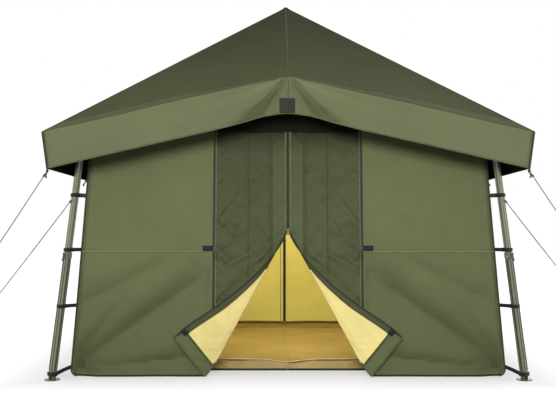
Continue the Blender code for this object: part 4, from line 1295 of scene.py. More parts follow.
def end_wall(end):
    """The front or the rear wall with its seams, corner piping and edge strips."""
    sign = ENDS[end]
    inner, outer, door_rows, top_rows = 14, 46, 78, 12
    columns = 2 * (inner + outer)

    def place(i, j):
        k = i - inner - outer
        side = 1 if k > 0 else -1
        z = mix(HEM, DOOR_TOP, min(j, door_rows) / door_rows)
        for _ in range(3):
            edge = wall_reach(z)
            door = door_side(z) if sign < 0 else DOOR
            if abs(k) <= inner:
                x = side * door * abs(k) / inner
            else:
                x = side * mix(door, edge, (abs(k) - inner) / outer)
            if j > door_rows:
                top = roof_height(x, wall_half(z)) - WALL_TOP_GAP
                z = mix(DOOR_TOP, top, (j - door_rows) / top_rows)
        return end_wall_point(sign, x, z)

    def keep(i, j):
        return sign > 0 or j >= door_rows or not outer <= i < outer + 2 * inner

    def uv(i, j):
        point = place(i, j)
        return abs(point.x), point.z

    def tone(i, j):
        if i in (0, columns - 1):
            return 4
        # The cells over the doorway take the near-black finish, painted shadow under the valance
        return 2 if sign < 0 and j >= door_rows and outer <= i < outer + 2 * inner else 0

    bm = grid(columns, door_rows + top_rows, place, uv, keep, sign > 0, tone)
    body = f"wall_{end}"
    # Slot 2 is the near-black painted shadow over the doorway
    cloths = ["wall", "lining", "head", "lining", "wall_edge", "wall_edge"]
    obj = thicken(piece(f"panel_{end}", bm, cloths, body, "wall_cloth", [f"wall_{end}"], ALONG_X))
    out = (0, sign, 0)
    trim = []

    def sew(name, points, cloth, width, slot="wall_cloth"):
        trim.append(add_seam(name, points, out, cloth, body, slot, ALONG_X, width))

    for kind, z, width in HEAD if sign < 0 else ():
        run = [Vector((x, -wall_half(z) - 0.0014, z)) for x in spread(-DOOR, DOOR, 24)]
        sew(f"{kind}_{end}", run, "head", width, "door_cloth")
    start = DOOR + 0.02 if sign < 0 else 0.02
    for name, side in SIDES.items():
        for kind, z, cloth, width in SEWN:
            first = start + (door_side(z) - DOOR if sign < 0 else 0.0)
            run = spread(first, wall_reach(z) - 0.001, 88)
            points = [end_wall_point(sign, side * x, z) for x in run]
            sew(f"{kind}_{end}_{name}", points, cloth, width)
    for name, side in SIDES.items():
        heights = [HEM + 0.002 + 1.52 * share**1.6 for share in spread(0, 1, 60)]
        corner = Vector((side, sign, 0))
        route = [corner * (wall_reach(z) + 0.0015) + Vector((0, 0, z)) for z in heights]
        bm = sweep(route, round_profile(0.0056, 8), corner)
        trim.append(piece(f"piping_{end}_{name}", bm, ["piping"], body, "wall_cloth", squash=ALONG_X))
        points = [end_wall_point(sign, side * (wall_reach(z) - 0.024), z) for z in heights[12:]]
        sew(f"edge_{end}_{name}", points, "stitched", 0.007)
    width = 2 * WALL
    tall = roof_height(0, WALL) - WALL_TOP_GAP - HEM
    cut = 1.14 * (width * 0.97 * 1.66 + 0.2 * width * 0.45) - (2 * DOOR * DOOR_TOP if sign < 0 else 0)
    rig.sheet(obj, flat=(width, tall), area=cut, held="hung", rests_on=[f"arm_{end}_middle"], with_pieces=trim)


def side_wall(side):
    """The left or the right wall with its seams."""
    sign = SIDES[side]
    columns, rows = 124, 84
    edge_top = wall_half(DOOR_TOP)
    top = roof_height(edge_top, edge_top) - WALL_TOP_GAP

    def place(i, j):
        z = mix(HEM, top, j / rows)
        reach = wall_reach(z) - 0.003
        return side_wall_point(sign, mix(-reach, reach, i / columns), z)

    body = f"wall_{side}"
    bm = grid(columns, rows, place, lambda i, j: (3 * i / columns, top * j / rows), turned=sign < 0)
    cloths = ["wall", "lining"]
    obj = thicken(piece(f"panel_{side}", bm, cloths, body, "wall_cloth", [f"wall_{side}"], ALONG_Y))
    trim = []
    for kind, z, cloth, width in SEWN:
        reach = wall_reach(z) - 0.004
        points = [side_wall_point(sign, y, z) for y in spread(-reach, reach, 160)]
        out = (sign, 0, 0)
        trim.append(add_seam(f"{kind}_{side}", points, out, cloth, body, "wall_cloth", ALONG_Y, width))
    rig.sheet(
        obj, flat=(2 * WALL, top), held="hung", rests_on=[f"roof_{side}"], area=2 * WALL * top * 0.965,
        with_pieces=trim
    )


def zip_line(name, points, out, body, squash, split=0, cloth="dark_tape"):
    """A zip along points: a coil between piped tapes, or one half of it where split is 1 or -1."""
    tape = sizes().tape
    along = (Vector(points[-1]) - Vector(points[0])).normalized()
    across = along.cross(Vector(out)).normalized()
    parts = []
    for side in (-1, 1) if not split else (split,):
        strips = [(tape / 2 + 0.003, tape, 0.0012, 0), (tape + 0.005, 0.0042, 0.0026, 2)]
        for shift, width, depth, index in strips:
            shifted = [Vector(p) + across * side * shift for p in points]
            parts.append(painted(sweep(shifted, ribbon_profile(width, depth), out), index))
    coil = [Vector(p) - across * split * 0.0026 for p in points]
    parts.append(painted(sweep(coil, ribbon_profile(0.0050 if split else 0.008, 0.003), out), 1))
    return piece(name, merged(*parts), [cloth, "coil", "tape"], body, "black_zip", squash=squash)


def slider(name, node, x, z, sign, body):
    """A zip slider: a waisted body, a bridge and a teardrop pull."""
    turn = Matrix.Rotation(0 if sign < 0 else math.pi, 4, "Z") @ Matrix.Rotation(-math.atan(LEAN), 4, "X")
    place = Matrix.Translation((x, sign * wall_half(z), z)) @ turn
    plates = [
        block((-0.006, -0.0042, -0.022), (0.006, -0.0012, 0), 0.0012),
        block((-0.0055, -0.0086, -0.021), (0.0055, -0.0056, -0.001), 0.0012),
        block((-0.0022, -0.006, -0.008), (0.0022, -0.003, -0.002), 0.0004),
    ]
    turns = [math.pi * n / 12 for n in range(13)]
    bridge = [(0, -0.0082 - 0.004 * math.sin(t), -0.018 + 0.013 * t / math.pi) for t in turns]
    plates.append(sweep(bridge, round_profile(0.0011, 8), (1, 0, 0)))
    pull, radius, middle = bmesh.new(), 0.0062, 0.034
    upright = Matrix.Translation((0, 0, -middle)) @ Matrix.Rotation(math.pi / 2, 4, "X")
    bmesh.ops.create_circle(pull, cap_ends=True, segments=28, radius=radius, matrix=upright)
    for vert in pull.verts:
        if vert.co.z > -middle:
            vert.co.x *= 1 - 0.62 * (vert.co.z + middle) / radius
            vert.co.z = -middle + (vert.co.z + middle) * 3.4
    bmesh.ops.translate(pull, verts=pull.verts, vec=(0, -0.0105, 0))
    bmesh.ops.solidify(pull, geom=pull.faces[:], thickness=0.0018)
    bmesh.ops.recalc_face_normals(pull, faces=pull.faces)
    soften(pull, pull.edges[:], 0.0004, 2)
    shape = moved(merged(*plates, pull), place)
    return piece(name, shape, ["plastic"], body, "black_zip", [node])


def tab(name, centre, turn, body, squash=None, size=(0.075, 0.038)):
    """A stitched black tab, lying on a surface that faces the front."""
    w, h = size[0] / 2, size[1] / 2
    bm = block((-w, -0.0035, -h), (w, 0, h), 0.0012, 2)
    layer = bm.loops.layers.uv.new("UVMap")
    for face in bm.faces:
        for loop in face.loops:
            loop[layer].uv = (loop.vert.co.z, loop.vert.co.x)
    ridge_line = block((-w + 0.008, -0.0052, -h + 0.006), (w - 0.008, -0.003, h - 0.006), 0.0016, 2)
    bm = merged(bm, ridge_line)
    lean = Matrix.Rotation(-math.atan(LEAN), 4, "X")
    place = Matrix.Translation(centre) @ Matrix.Rotation(turn, 4, "Y") @ lean
    return piece(name, moved(bm, place), ["webbing"], body, "black_fitting", squash=squash)


class TENT_OT_walls(bpy.types.Operator):
    """Adds the four walls with their folds, seams, hems, corner piping, side zips, tabs and the rear zip"""

    bl_idname = "tent.walls"
    bl_label = "Add Walls"

    def execute(self, context):
        for end in ENDS:
            end_wall(end)
        for side, sign in SIDES.items():
            side_wall(side)
            run = spread(0.02, DOOR_TOP + 0.06, 60)
            points = [Vector((sign * (door_side(z) + 0.001), -wall_half(z) - 0.0004, z)) for z in run]
            zip_line(f"zip_{side}", points, TO_FRONT, "wall_front", ALONG_X, cloth="leaf_tape")
            slider(f"zip_slider_{side}", f"slider_{side}", sign * DOOR, SIDE_SLIDER_Z, -1, f"slider_{side}")
            run = [(DOOR - 0.002 - 0.016 * smooth(n / 4), 0.885 - 0.006 * n) for n in range(11)]
            cord = [Vector((sign * x, -wall_half(SIDE_SLIDER_Z) - 0.012, z)) for x, z in run]
            end = ring(cord[-1], (0, 1, 0), 0.006, 0.002)
            pull = merged(sweep(cord, round_profile(0.0035, 10), TO_FRONT), end)
            piece(f"zip_pull_{side}", pull, ["plastic"], f"slider_{side}", "black_zip")
            centre = end_wall_point(-1, sign * (DOOR + 0.042), TAB_Z) + Vector((0, -0.003, 0))
            tab(f"tab_{side}", centre, 0.0, "wall_front", ALONG_X)
        # The strip down the middle above the doorway is near black: painted shadow under the valance
        top = [Vector((0, -wall_half(z) - 0.0006, z)) for z in spread(DOOR_TOP + 0.001, 1.845, 8)]
        add_seam("zip_top", top, TO_FRONT, "head", "wall_front", "black_zip", ALONG_X, 0.03)
        run, behind = spread(0.02, 1.78, 60), Vector((0, 0.0022, 0))
        middle = [end_wall_point(1, 0.0, z) for z in run]
        zip_line("zip_rear", [p + Vector((0, 0.0004, 0)) for p in middle], (0, 1, 0), "wall_rear", ALONG_X)
        zip_line("zip_rear_inside", [p - behind for p in middle], TO_FRONT, "wall_rear", ALONG_X)
        slider("zip_slider_rear", "slider_rear", 0.0, REAR_SLIDER_Z, 1, "slider_rear")
        seam_shadow = [end_wall_point(1, -0.042, z) - behind for z in run]
        add_seam("seam_shadow_rear_inside", seam_shadow, TO_FRONT, "lining_seam", "wall_rear", "wall_cloth", ALONG_X, 0.007)
        slider("zip_slider_centre", "slider_centre", 0.0, SLIDER_Z + 0.022, -1, "slider_centre")
        return {"FINISHED"}


# Door


def door_leaf(side):
    """A door leaf with its folded-out corner, zip halves, hem and tab."""
    sign = SIDES[side]
    across, bend, flap, above, below = 48, 6, 40, 52, 90
    first = 0.99 * APEX_Z
    outer, top = DOOR - DOOR_FIT, DOOR_TOP - DOOR_FIT
    run = Vector((FOLD_FOOT - CENTRE_GAP, -APEX_Z))
    away = Vector((-run.y, run.x)).normalized() * -1

    def height(j):
        return mix(top, first, j / above) if j <= above else mix(first, LAST, (j - above) / below)

    def place(i, j):
        z = height(j)
        edge = fold_edge(z) if j >= above else CENTRE_GAP
        if i <= across:
            return leaf_point(sign, mix(outer, edge, i / across), z)
        if i <= across + bend:
            turn = math.pi * (i - across) / bend
            x = edge + away.x * FOLD_RADIUS * math.sin(turn)
            z += away.y * FOLD_RADIUS * math.sin(turn)
            return Vector((sign * x, -wall_half(z) - FOLD_RADIUS * (1 - math.cos(turn)), z))
        return flap_point(sign, z, (i - across - bend) / flap)

    corner, tip = flap_point(sign, LAST, FLAP_LOW), flap_point(sign, LAST, 1.0)
    hem_way = (tip - corner).normalized()

    def rims(i, j):
        """How far a point lies from the flap's zip edge and from its hem, as its finish counts."""
        z = height(j)
        share = max(0, i - across - bend) / flap
        point = flap_point(sign, z, share)
        side_gap = (flap_point(sign, z, 1.0) - point).length
        width = mix(0.014, 0.046, min(1.0, (APEX_Z - z) / (APEX_Z - LAST) / 0.65))
        hem_gap = (point - corner).cross(hem_way).length
        return side_gap * FLAP_BAND / width, hem_gap * FLAP_BAND / 0.092

    def uv(i, j):
        z = height(j)
        edge = fold_edge(z) if j >= above else CENTRE_GAP
        if i <= across:
            return mix(outer, edge, i / across), z
        return min(rims(i, j)), z + i / flap * 0.4

    def tone(i, j):
        if i < across + bend:
            return 0
        side_gap, hem_gap = rims(i, j)
        return 2 if hem_gap < side_gap else 0

    def keep(i, j):
        return i < across or j >= above

    bm = grid(across + bend + flap, above + below, place, uv, keep, sign < 0, tone)
    body = f"door_leaf_{side}"
    cloths = ["door", "flap", "door", "flap_hem"]
    obj = thicken(piece(f"leaf_{side}", bm, cloths, body, "door_cloth", [f"door_leaf_{side}"], ALONG_X))
    straight = [leaf_point(sign, 0.0052, z) + Vector((0, -0.0006, 0)) for z in spread(top - 0.002, first, 40)]
    closed = zip_line(f"zip_leaf_{side}", straight, TO_FRONT, body, ALONG_X, -sign, "leaf_tape")
    edge = [flap_point(sign, z, 0.995) + Vector((0, -0.0022, 0)) for z in spread(first - 0.01, LAST, 60)]
    tape = sweep(edge, ribbon_profile(0.009, 0.0022), TO_FRONT)
    coil = sweep([p + Vector((0, -0.001, 0)) for p in edge], ribbon_profile(0.0035, 0.0034), TO_FRONT)
    strips = merged(painted(tape, 0), painted(coil, 1))
    opened = piece(f"zip_flap_{side}", strips, ["dark_tape", "coil"], body, "black_zip", squash=ALONG_X)
    hem = [flap_point(sign, LAST, share) for share in spread(0, 1, 30)]
    form = (0.007, 0.0018, 0.0024)
    hem_line = add_seam(f"hem_flap_{side}", hem, TO_FRONT, "stitched", body, "door_cloth", ALONG_X, *form)
    base = flap_point(sign, LAST + 0.058, 0.945) + Vector((0, -0.0062, 0))
    grip = tab(f"tab_flap_{side}", base, sign * math.radians(-46), body, ALONG_X, (0.046, 0.040))
    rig.sheet(
        obj, flat=(DOOR, top), held="folded", rests_on=["panel_front"], area=DOOR * top,
        with_pieces=[closed, opened, hem_line, grip],
    )


class TENT_OT_door(bpy.types.Operator):
    """Adds the two door leaves with their folded-out corners, zips, bands and tabs"""

    bl_idname = "tent.door"
    bl_label = "Add Door"

    def execute(self, context):
        for side in SIDES:
            door_leaf(side)
        return {"FINISHED"}


# Ground sheet


def floor_half(side):
    """Half of the ground sheet with its raised lips and bindings."""
    sign = SIDES[side]
    lip, wide, deep = 6, 56, 112
    back = 2 * lip + deep

    def place(i, j):
        base_x = mix(FLOOR, DOOR_FIT, max(0, i - lip) / wide)
        base_y = mix(-FLOOR_DEEP, FLOOR_DEEP, min(max(j - lip, 0), deep) / deep)
        up = max(max(0, lip - i), max(0, lip - j), max(0, j - deep - lip)) / lip
        x = base_x - (LIP_LEAN * up if i <= lip else 0)
        y = base_y - (math.copysign(LIP_LEAN * up, base_y) if not lip < j < deep + lip else 0)
        if not up:
            inner = smooth(min(FLOOR - base_x, FLOOR_DEEP - abs(base_y)) / 0.08)
            rise = 0.011 * max(0.0, grain(sign * x, y, 2.6, 121)) + 0.009 * ridge(sign * x, y, 3.4, 123)
            rise += 0.006 * ridge(sign * x + y, sign * x - y, 5.2, 127)
            near = math.exp(-((x / 0.12) ** 2) - ((y - 1.14) / 0.1) ** 2)
            rise += 0.012 * near * (1.2 + grain(sign * x, y, 22.0, 129))
            return Vector((sign * x, y, FLOOR_Z + inner * rise))
        pinch = (0.24 if y < 0 else 0.04) * bell(x, 0.12) + 0.03 * grain(sign * x, y, 6.0, 131)
        x -= 0.006 * math.sin(math.pi * up) * (i <= lip)
        y += 0.005 * math.sin(math.pi * up) * grain(sign * x, up, 8.0, 137)
        return Vector((sign * x, y, mix(FLOOR_Z, LIP * (1 - pinch), up)))

    def uv(i, j):
        return i * 0.025, j * 0.025

    bm = grid(lip + wide, back, place, uv, None, sign > 0, lambda i, j: 2 if j < lip else 0)
    body = f"floor_{side}"
    cloths = ["floor", "lining", "lip"]
    obj = piece(f"ground_{side}", bm, cloths, body, "floor_cloth", [f"floor_{side}"], ALONG_Y)
    thicken(obj, lining=False)
    trim = []

    def sew(name, points, out, cloth, width, depth, lift):
        trim.append(add_seam(name, points, out, cloth, body, "floor_cloth", ALONG_Y, width, depth, lift))

    for kind, j, rise, out, cloth, width, depth, lift in (
        ("sill", 0, 0.0, (0, -1, 0.15), "sill", 0.005, 0.0028, -0.0012),
        ("sill_shade", 0, -0.009, (0, -1, 0.15), "lip_shade", 0.010, 0.0018, 0.0022),
        ("rear_lip", back, -0.012, TO_FRONT, "lip_shade", 0.022, 0.0018, 0.0004),
        ("sill_foot", lip, 0.004, TO_FRONT, "binding", 0.014, 0.0022, 0.0002),
    ):
        points = [place(i, j) + Vector((0, 0, rise)) for i in range(lip, lip + wide + 1)]
        sew(f"{kind}_{side}", points, out, cloth, width, depth, lift)
    joins = (
        ("sill_join", spread(0, lip, lip), 0.0, TO_FRONT, "lip", 0.0012, 0.0012),
        ("rear_join", spread(back, back - lip, lip), 0.0, TO_FRONT, "floor", 0.0012, 0.0012),
        ("floor_join", range(lip, lip + deep + 1), 0.0002, (0, 0, 1), "floor", 0.0006, 0.0),
    )
    for name, rows, rise, out, cloth, depth, lift in joins if sign < 0 else ():
        middle = [place(lip + wide, j) for j in rows]
        sew(name, [Vector((0, p.y, p.z + rise)) for p in middle], out, cloth, 0.012, depth, lift)
    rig.sheet(obj, flat=(FLOOR + 0.08, 2 * FLOOR_DEEP + 0.16), held="laid", with_pieces=trim)


class TENT_OT_floor(bpy.types.Operator):
    """Adds the ground sheet in two halves with its raised lip and bound edge"""

    bl_idname = "tent.floor"
    bl_label = "Add Ground Sheet"

    def execute(self, context):
        for side in SIDES:
            floor_half(side)
        return {"FINISHED"}


# Frame


def tube(radius, start, end, wall=0.0015, sides=36):
    """A round tube along X with an open bore."""
    bore, rim, edge = radius - wall, radius - 0.0004, 0.0004
    outline = [
        (bore, start), (rim, start), (radius, start + edge), (radius, end - edge), (rim, end), (bore, end)
    ]
    return moved(turned_shape(outline, sides), Matrix.Rotation(math.pi / 2, 4, "Y"))


def add_fitting(name, corner, parts, place, cloths, body, slot, node):
    """A corner's fitting from its parts, in place of a node of the CAD."""
    shape = moved(merged(*parts), place)
    piece(f"{name}_{corner}", shape, cloths, f"{body}_{corner}", slot, [f"{node}_{corner}"])


def cross_turn(x, z):
    """A place for a pin across the leg or arm, along its Y."""
    return Matrix.Translation((x, 0, z)) @ Matrix.Rotation(math.pi / 2, 4, "X")


def cheeks(side, z, half, low, high, edge, segments, head):
    """The two plates beside a square tube, each with a rivet's head at height z."""
    parts = []
    for way in (-1, 1):
        a, b = sorted((way * (side / 2 + CHEEK_IN), way * (side / 2 + CHEEK_OUT)))
        parts.append(block((-half, a, low), (half, b, high), edge, segments))
        shift = Matrix.Translation((0, way * (side / 2 + HEAD_OUT), 0))
        face = Matrix() if way < 0 else Matrix.Rotation(math.pi, 4, "X")
        parts.append(painted(moved(turned_shape(head, 24), shift @ cross_turn(0, z) @ face), 1))
    return parts


def pin(side, z):
    """The pin through both plates."""
    return painted(peg(PIN_RADIUS, -side / 2 - PIN_OUT, side / 2 + PIN_OUT, cross_turn(0, z)), 1)


def elbow(corner):
    """The sleeve on a corner arm that holds a leg."""
    place = arm_place(corner_place(corner), CORNER_SLOPE) @ Matrix.Translation((ELBOW_ALONG, 0, 0))
    parts = [tube(0.021, -0.045, 0.045, 0.0074)]
    parts += [tube(0.0225, at - 0.004, at + 0.004, 0.0085) for at in (-0.041, 0.041)]
    head = [(0, 0), (0.0085, 0), (0.0085, 0.0012), (0.006, 0.0034), (0, 0.0042)]
    parts += cheeks(LEG_SIDE, -ELBOW_DROP, 0.018, -ELBOW_DROP - 0.014, -0.0065, 0.0016, 2, head)
    parts.append(pin(LEG_SIDE, -ELBOW_DROP))
    add_fitting("elbow_joint", corner, parts, place, ["plastic", "steel"], "arm", "black_fitting", "elbow")


def square_sleeve(side, bore, corner, low, high):
    """A square sleeve along Z with rounded corners and an open bore."""
    bm = bmesh.new()
    radius = side / math.sqrt(2)
    turn = Matrix.Translation((0, 0, (low + high) / 2)) @ Matrix.Rotation(math.pi / 4, 4, "Z")
    bmesh.ops.create_cone(
        bm, cap_ends=False, segments=4, radius1=radius, radius2=radius, depth=high - low, matrix=turn
    )
    upright = [e for e in bm.edges if abs(e.verts[0].co.z - e.verts[1].co.z) > (high - low) / 2]
    soften(bm, upright, corner, 5)
    inner = bm.copy()
    share = bore / side
    bmesh.ops.scale(inner, vec=(share, share, 1), verts=inner.verts)
    bmesh.ops.reverse_faces(inner, faces=inner.faces)
    both = merged(bm, inner)
    rims = [e for e in both.edges if e.is_boundary]
    for level in (low, high):
        bmesh.ops.bridge_loops(both, edges=[e for e in rims if abs(e.verts[0].co.z - level) < 1e-6])
    bmesh.ops.recalc_face_normals(both, faces=both.faces)
    return both


def clamp(corner):
    """The collar at a leg's joint with its lever."""
    place = leg_place(corner)
    high = -JOINT_ALONG + 0.003
    low = high - 0.040
    bore = LOWER_SIDE + 0.0008
    parts = [square_sleeve(COLLAR_SIDE, bore, 0.0070, low, high)]
    for level in (low + 0.0022, high - 0.0022):
        parts.append(square_sleeve(COLLAR_SIDE + 0.0012, bore, 0.0075, level - 0.002, level + 0.002))
    face, up = COLLAR_SIDE / 2, -JOINT_ALONG - 0.008
    out = face + 0.006
    for side in (-1, 1):
        a, b = sorted((side * 0.0075, side * 0.0115))
        parts.append(block((face - 0.003, a, up - 0.007), (out + 0.005, b, up + 0.007), 0.0014, 2))
        rib, ends = side * 0.018, (low + 0.007, high - 0.007)
        a, b = ((face + way * 0.001, rib + way * 0.0012, z) for way, z in zip((-1, 1), ends))
        parts.append(block(a, b, 0.0007, 2))
    parts.append(painted(peg(0.0022, -0.0122, 0.0122, cross_turn(out, up)), 1))
    at = Matrix.Translation((0, -face - 0.0025, low + 0.014)) @ Matrix.Rotation(-math.pi / 2, 4, "X")
    parts.append(painted(moved(peg(0.0055, 0, 0.003), at), 1))
    cloths = ["low_paint", "steel"]
    add_fitting("clamp_body", corner, parts, place, cloths, "leg_lower", "black_fitting", "clamp_collar")

    hinge = place @ Matrix.Translation((out, 0, up)) @ Matrix.Rotation(-math.radians(5), 4, "Y")
    barrel = moved(tube(0.005, -0.0070, 0.0070, 0.0024, 24), Matrix.Rotation(math.pi / 2, 4, "Z"))
    plate = [(0.0006 + 0.0036 * smooth((s - 0.55) / 0.45), 0, -0.0046 - 0.0445 * s) for s in spread(0, 1, 16)]
    half = [(0.0056, 0.0024), (0.0070, 0.0012), (0.0070, -0.0019)]
    handle = sweep(plate, [(-x, z) for x, z in reversed(half)] + half, (1, 0, 0))
    node = "clamp_lever"
    add_fitting("clamp_handle", corner, [barrel, handle], hinge, ["plastic"], node, "black_fitting", node)


def foot(corner):
    """A foot's round plate with its cheeks and pin."""
    place = corner_place(corner) @ Matrix.Translation((leg_reach(ANKLE_Z), 0, 0))
    outline = [
        (0, 0), (0.0505, 0), (0.0520, 0.0008), (0.0525, 0.0024), (0.0522, 0.0050), (0.0505, 0.0060),
        (0.0485, 0.0052)
    ]
    outline += [(0.0465, 0.0042), (0.030, 0.0042), (0.027, 0.0054), (0, 0.0054)]
    parts = [turned_shape(outline, 56)]
    head = [(0, 0), (0.0075, 0), (0.0075, 0.002), (0.005, 0.0034), (0, 0.0036)]
    parts += cheeks(LOWER_SIDE, ANKLE_Z, 0.015, 0.0025, 0.044, 0.0018, 3, head)
    rim = [(0.0034, 0), (0.0052, 0), (0.0052, 0.0012), (0.0034, 0.0012)]
    for turn in (0.25, 0.75, 1.25, 1.75):
        at = Matrix.Rotation(turn * math.pi, 4, "Z") @ Matrix.Translation((0.040, 0, 0.0038))
        parts.append(painted(moved(turned_shape(rim, 20), at), 1))
    parts.append(pin(LOWER_SIDE, ANKLE_Z))
    add_fitting("foot_disc", corner, parts, place, ["low_paint", "steel"], "foot", "green_tube", "foot")


def leg_trim(corner):
    """The grooves along the leg tubes' outer faces, with wider dark strips of painted shade and pale strips of painted
    highlight.
    """
    place = leg_place(corner)
    near = CORNERS[corner][0] * CORNERS[corner][1]
    # Each span: tube side, ends, body, pale strip width (painted highlight), dark strip width (painted shade), depth
    # and step
    spans = {
        "upper": (
            LEG_SIDE, -JOINT_ALONG + 0.006, -0.03, f"leg_upper_{corner}", 0.0105, 0.004, 0.0003, 0.00006
        ),
        "lower": (
            LOWER_SIDE, -LEG_LENGTH + 0.03, -JOINT_ALONG - 0.045, f"leg_lower_{corner}", 0.0035, 0.008,
            0.0016, 0.0006
        ),
    }
    for name, (side, low, high, body, shine, shade, depth, step) in spans.items():
        parts = []
        # Pale strips (slot 1) are painted highlight; the wider dark strips are painted shade, the narrow ones grooves
        across = (
            (0.16 * near * side, shine, 1), (-0.40 * near * side, shade, 0), (0.43 * near * side, 0.003, 0)
        )
        facing = ((-0.1 * side, shade, 0), (0.28 * side, 0.004, 1))
        strips = {(1, 0): across, (-1, 0): across, (0, 1): facing, (0, -1): facing}
        for (x, y), lines in strips.items():
            for shift, width, index in lines:
                start = Vector((x * side / 2 + (shift if y else 0), y * side / 2 + (shift if x else 0), 0))
                points = [start + Vector((0, 0, z)) for z in spread(low, high, 6)]
                parts.append(
                    painted(sweep(points, ribbon_profile(width, depth + step * index), (x, y, 0)), index)
                )
        shape = moved(merged(*parts), place)
        piece(f"leg_groove_{name}_{corner}", shape, ["groove", "bright"], body, "green_tube")


def strap_loop(z, rise=0.0):
    """A webbing loop round the leg with both tails drawn to the wall's corner, in the corner's own frame."""
    half = LOWER_SIDE / 2 + (0.0041 if z > JOINT_Z else 0.0031)
    room = 0.0085 if z < 0.06 else 0.0
    leg = leg_reach(z)
    wall = math.sqrt(2) * wall_reach(z + rise) + 0.001
    round_by = 0.006
    wide = half + room
    corners = [(leg - half, -wide), (leg + half, -wide), (leg + half, wide), (leg - half, wide)]
    tail = [
        (wall, 0.0014, z + rise), (mix(wall, leg - half, 0.5), 0.0016, z + rise / 2),
        (leg - half - 0.012, 0.003, z)
    ]
    route = [(x, -y, at) for x, y, at in tail]
    starts = [math.pi, -math.pi / 2, 0, math.pi / 2]
    for (x, y), start in zip(corners, starts):
        inner_x = x + (round_by if x < leg else -round_by)
        inner_y = y + (round_by if y < 0 else -round_by)
        for n in range(5):
            turn = start + math.pi / 2 * n / 4
            route.append((inner_x + round_by * math.cos(turn), inner_y + round_by * math.sin(turn), z))
    points = [Vector(p) for p in route + tail[::-1]]
    outs = []
    for n in range(len(points)):
        before, after = points[max(0, n - 1)], points[min(len(points) - 1, n + 1)]
        outs.append((after - before).cross(Vector((0, 0, 1))).normalized())
    return sweep(points, ribbon_profile(sizes().webbing, STRAP_DEPTH), outs), wall, leg - half


def buckle(start, end, z):
    """A ladder buckle on a strap's tail, in the corner's own frame: a waisted body, its bars and a keeper."""
    parts = []
    for share in (0.18, 0.62):
        x = mix(start, end, share)
        parts.append(block((x - 0.009, -0.0052, z - 0.0150), (x + 0.009, 0.0052, z + 0.0150), 0.003))
        parts.append(block((x - 0.011, -0.0064, z - 0.0020), (x + 0.011, 0.0064, z + 0.0020), 0.0008))
    parts.append(keeper(end - 0.004, z))
    return merged(*parts)


def keeper(x, z):
    """A moulded keeper that holds a strap's two tails together beside the leg."""
    return block((x - 0.004, -0.0056, z - 0.0150), (x + 0.004, 0.0056, z + 0.0150), 0.0016)


class TENT_OT_straps(bpy.types.Operator):
    """Adds the webbing loops round the legs and their buckles"""

    bl_idname = "tent.straps"
    bl_label = "Add Leg Straps"

    def execute(self, context):
        for corner in CORNERS:
            for level, heights in STRAPS.items():
                loops, buckles = [], []
                for z in heights:
                    loop, wall, leg = strap_loop(z, 0.032 if z < 0.1 else 0.0)
                    loops.append(loop)
                    buckles.append(buckle(wall + 0.01, leg, z) if z > 1 else keeper(leg - 0.010, z))
                for kind, parts, cloth in (("strap", loops, "webbing"), ("buckle", buckles, "plastic")):
                    shape = moved(merged(*parts), corner_place(corner))
                    piece(
                        f"{kind}_{level}_{corner}", shape, [cloth], f"leg_{level}_{corner}", "black_fitting"
                    )
        return {"FINISHED"}


class TENT_OT_frame(bpy.types.Operator):
    """Finishes the hub, arms and leg tubes, and adds the elbows, clamps, feet, grooves with painted highlight and
    shade, and corner hooks
    """

    bl_idname = "tent.frame"
    bl_label = "Add Frame Fittings"

    def execute(self, context):
        arms = [(f"arm_{c}", corner_place(c), CORNER_SLOPE, CORNER_ARM) for c in CORNERS]
        for end, sign in ENDS.items():
            turn = Matrix.Rotation(sign * math.pi / 2, 4, "Z")
            arms.append((f"arm_{end}_middle", turn, MIDDLE_ARM_SLOPE, MIDDLE_ARM))
        end_cap = (
            (0, -0.012), (0.0112, -0.012), (0.0112, 0), (0.0128, 0.0004), (0.0118, 0.0030), (0, 0.0038)
        )
        for arm, turn, slope, long in arms:
            stop = turned_shape([(radius, long + x) for radius, x in end_cap], 28)
            stop = painted(moved(stop, Matrix.Rotation(math.pi / 2, 4, "Y")), 1)
            shape = moved(merged(tube(ARM_RADIUS, -0.010, long), stop), arm_place(turn, slope))
            piece(f"tube_{arm}", shape, ["paint", "plastic"], arm, "green_tube", [arm])
        for corner, (x, y) in CORNERS.items():
            elbow(corner)
            clamp(corner)
            foot(corner)
            leg_trim(corner)
            centre = Vector((x * HOOK_OUT, y * HOOK_OUT, HOOK_Z))
            eye = ring(centre, (-y, x, 0))
            piece(f"hook_ring_{corner}", eye, ["steel"], f"hook_{corner}", "wire", [f"corner_hook_{corner}"])
            top = centre + Vector((-0.004 * x, -0.004 * y, 0.014))
            hook = hanging_hook(top, (x, y, 0))
            piece(f"hook_loop_{corner}", hook, ["webbing", "plastic"], f"hook_{corner}", "black_fitting")
        kinds = {"hub": "casting", "leg_upper": "paint", "leg_lower": "low_paint"}
        for name, node in NODES.items():
            for kind in (made for start, made in kinds.items() if name.startswith(start)):
                node.data.materials.clear()
                node.data.materials.append(finish(kind))
        return {"FINISHED"}


# Studio


def lamp(name, place, target, size, power):
    """A round area lamp that the camera doesn't see."""
    data = bpy.data.lights.new(name, "AREA")
    data.shape = "DISK"
    data.size = size
    data.energy = power
    obj = linked(name, data)
    obj.location = place
    obj.rotation_mode = "QUATERNION"
    obj.rotation_quaternion = (Vector(target) - Vector(place)).to_track_quat("-Z", "Y")
    obj.visible_camera = False


def seen_directly(tree):
    """1 for what the camera sees, straight or in gloss and glass."""
    rays = shader_node(tree, "LightPath").outputs
    seen = arithmetic(tree, "MAXIMUM", rays["Is Camera Ray"], rays["Is Glossy Ray"])
    return arithmetic(tree, "MAXIMUM", seen, rays["Is Transmission Ray"])


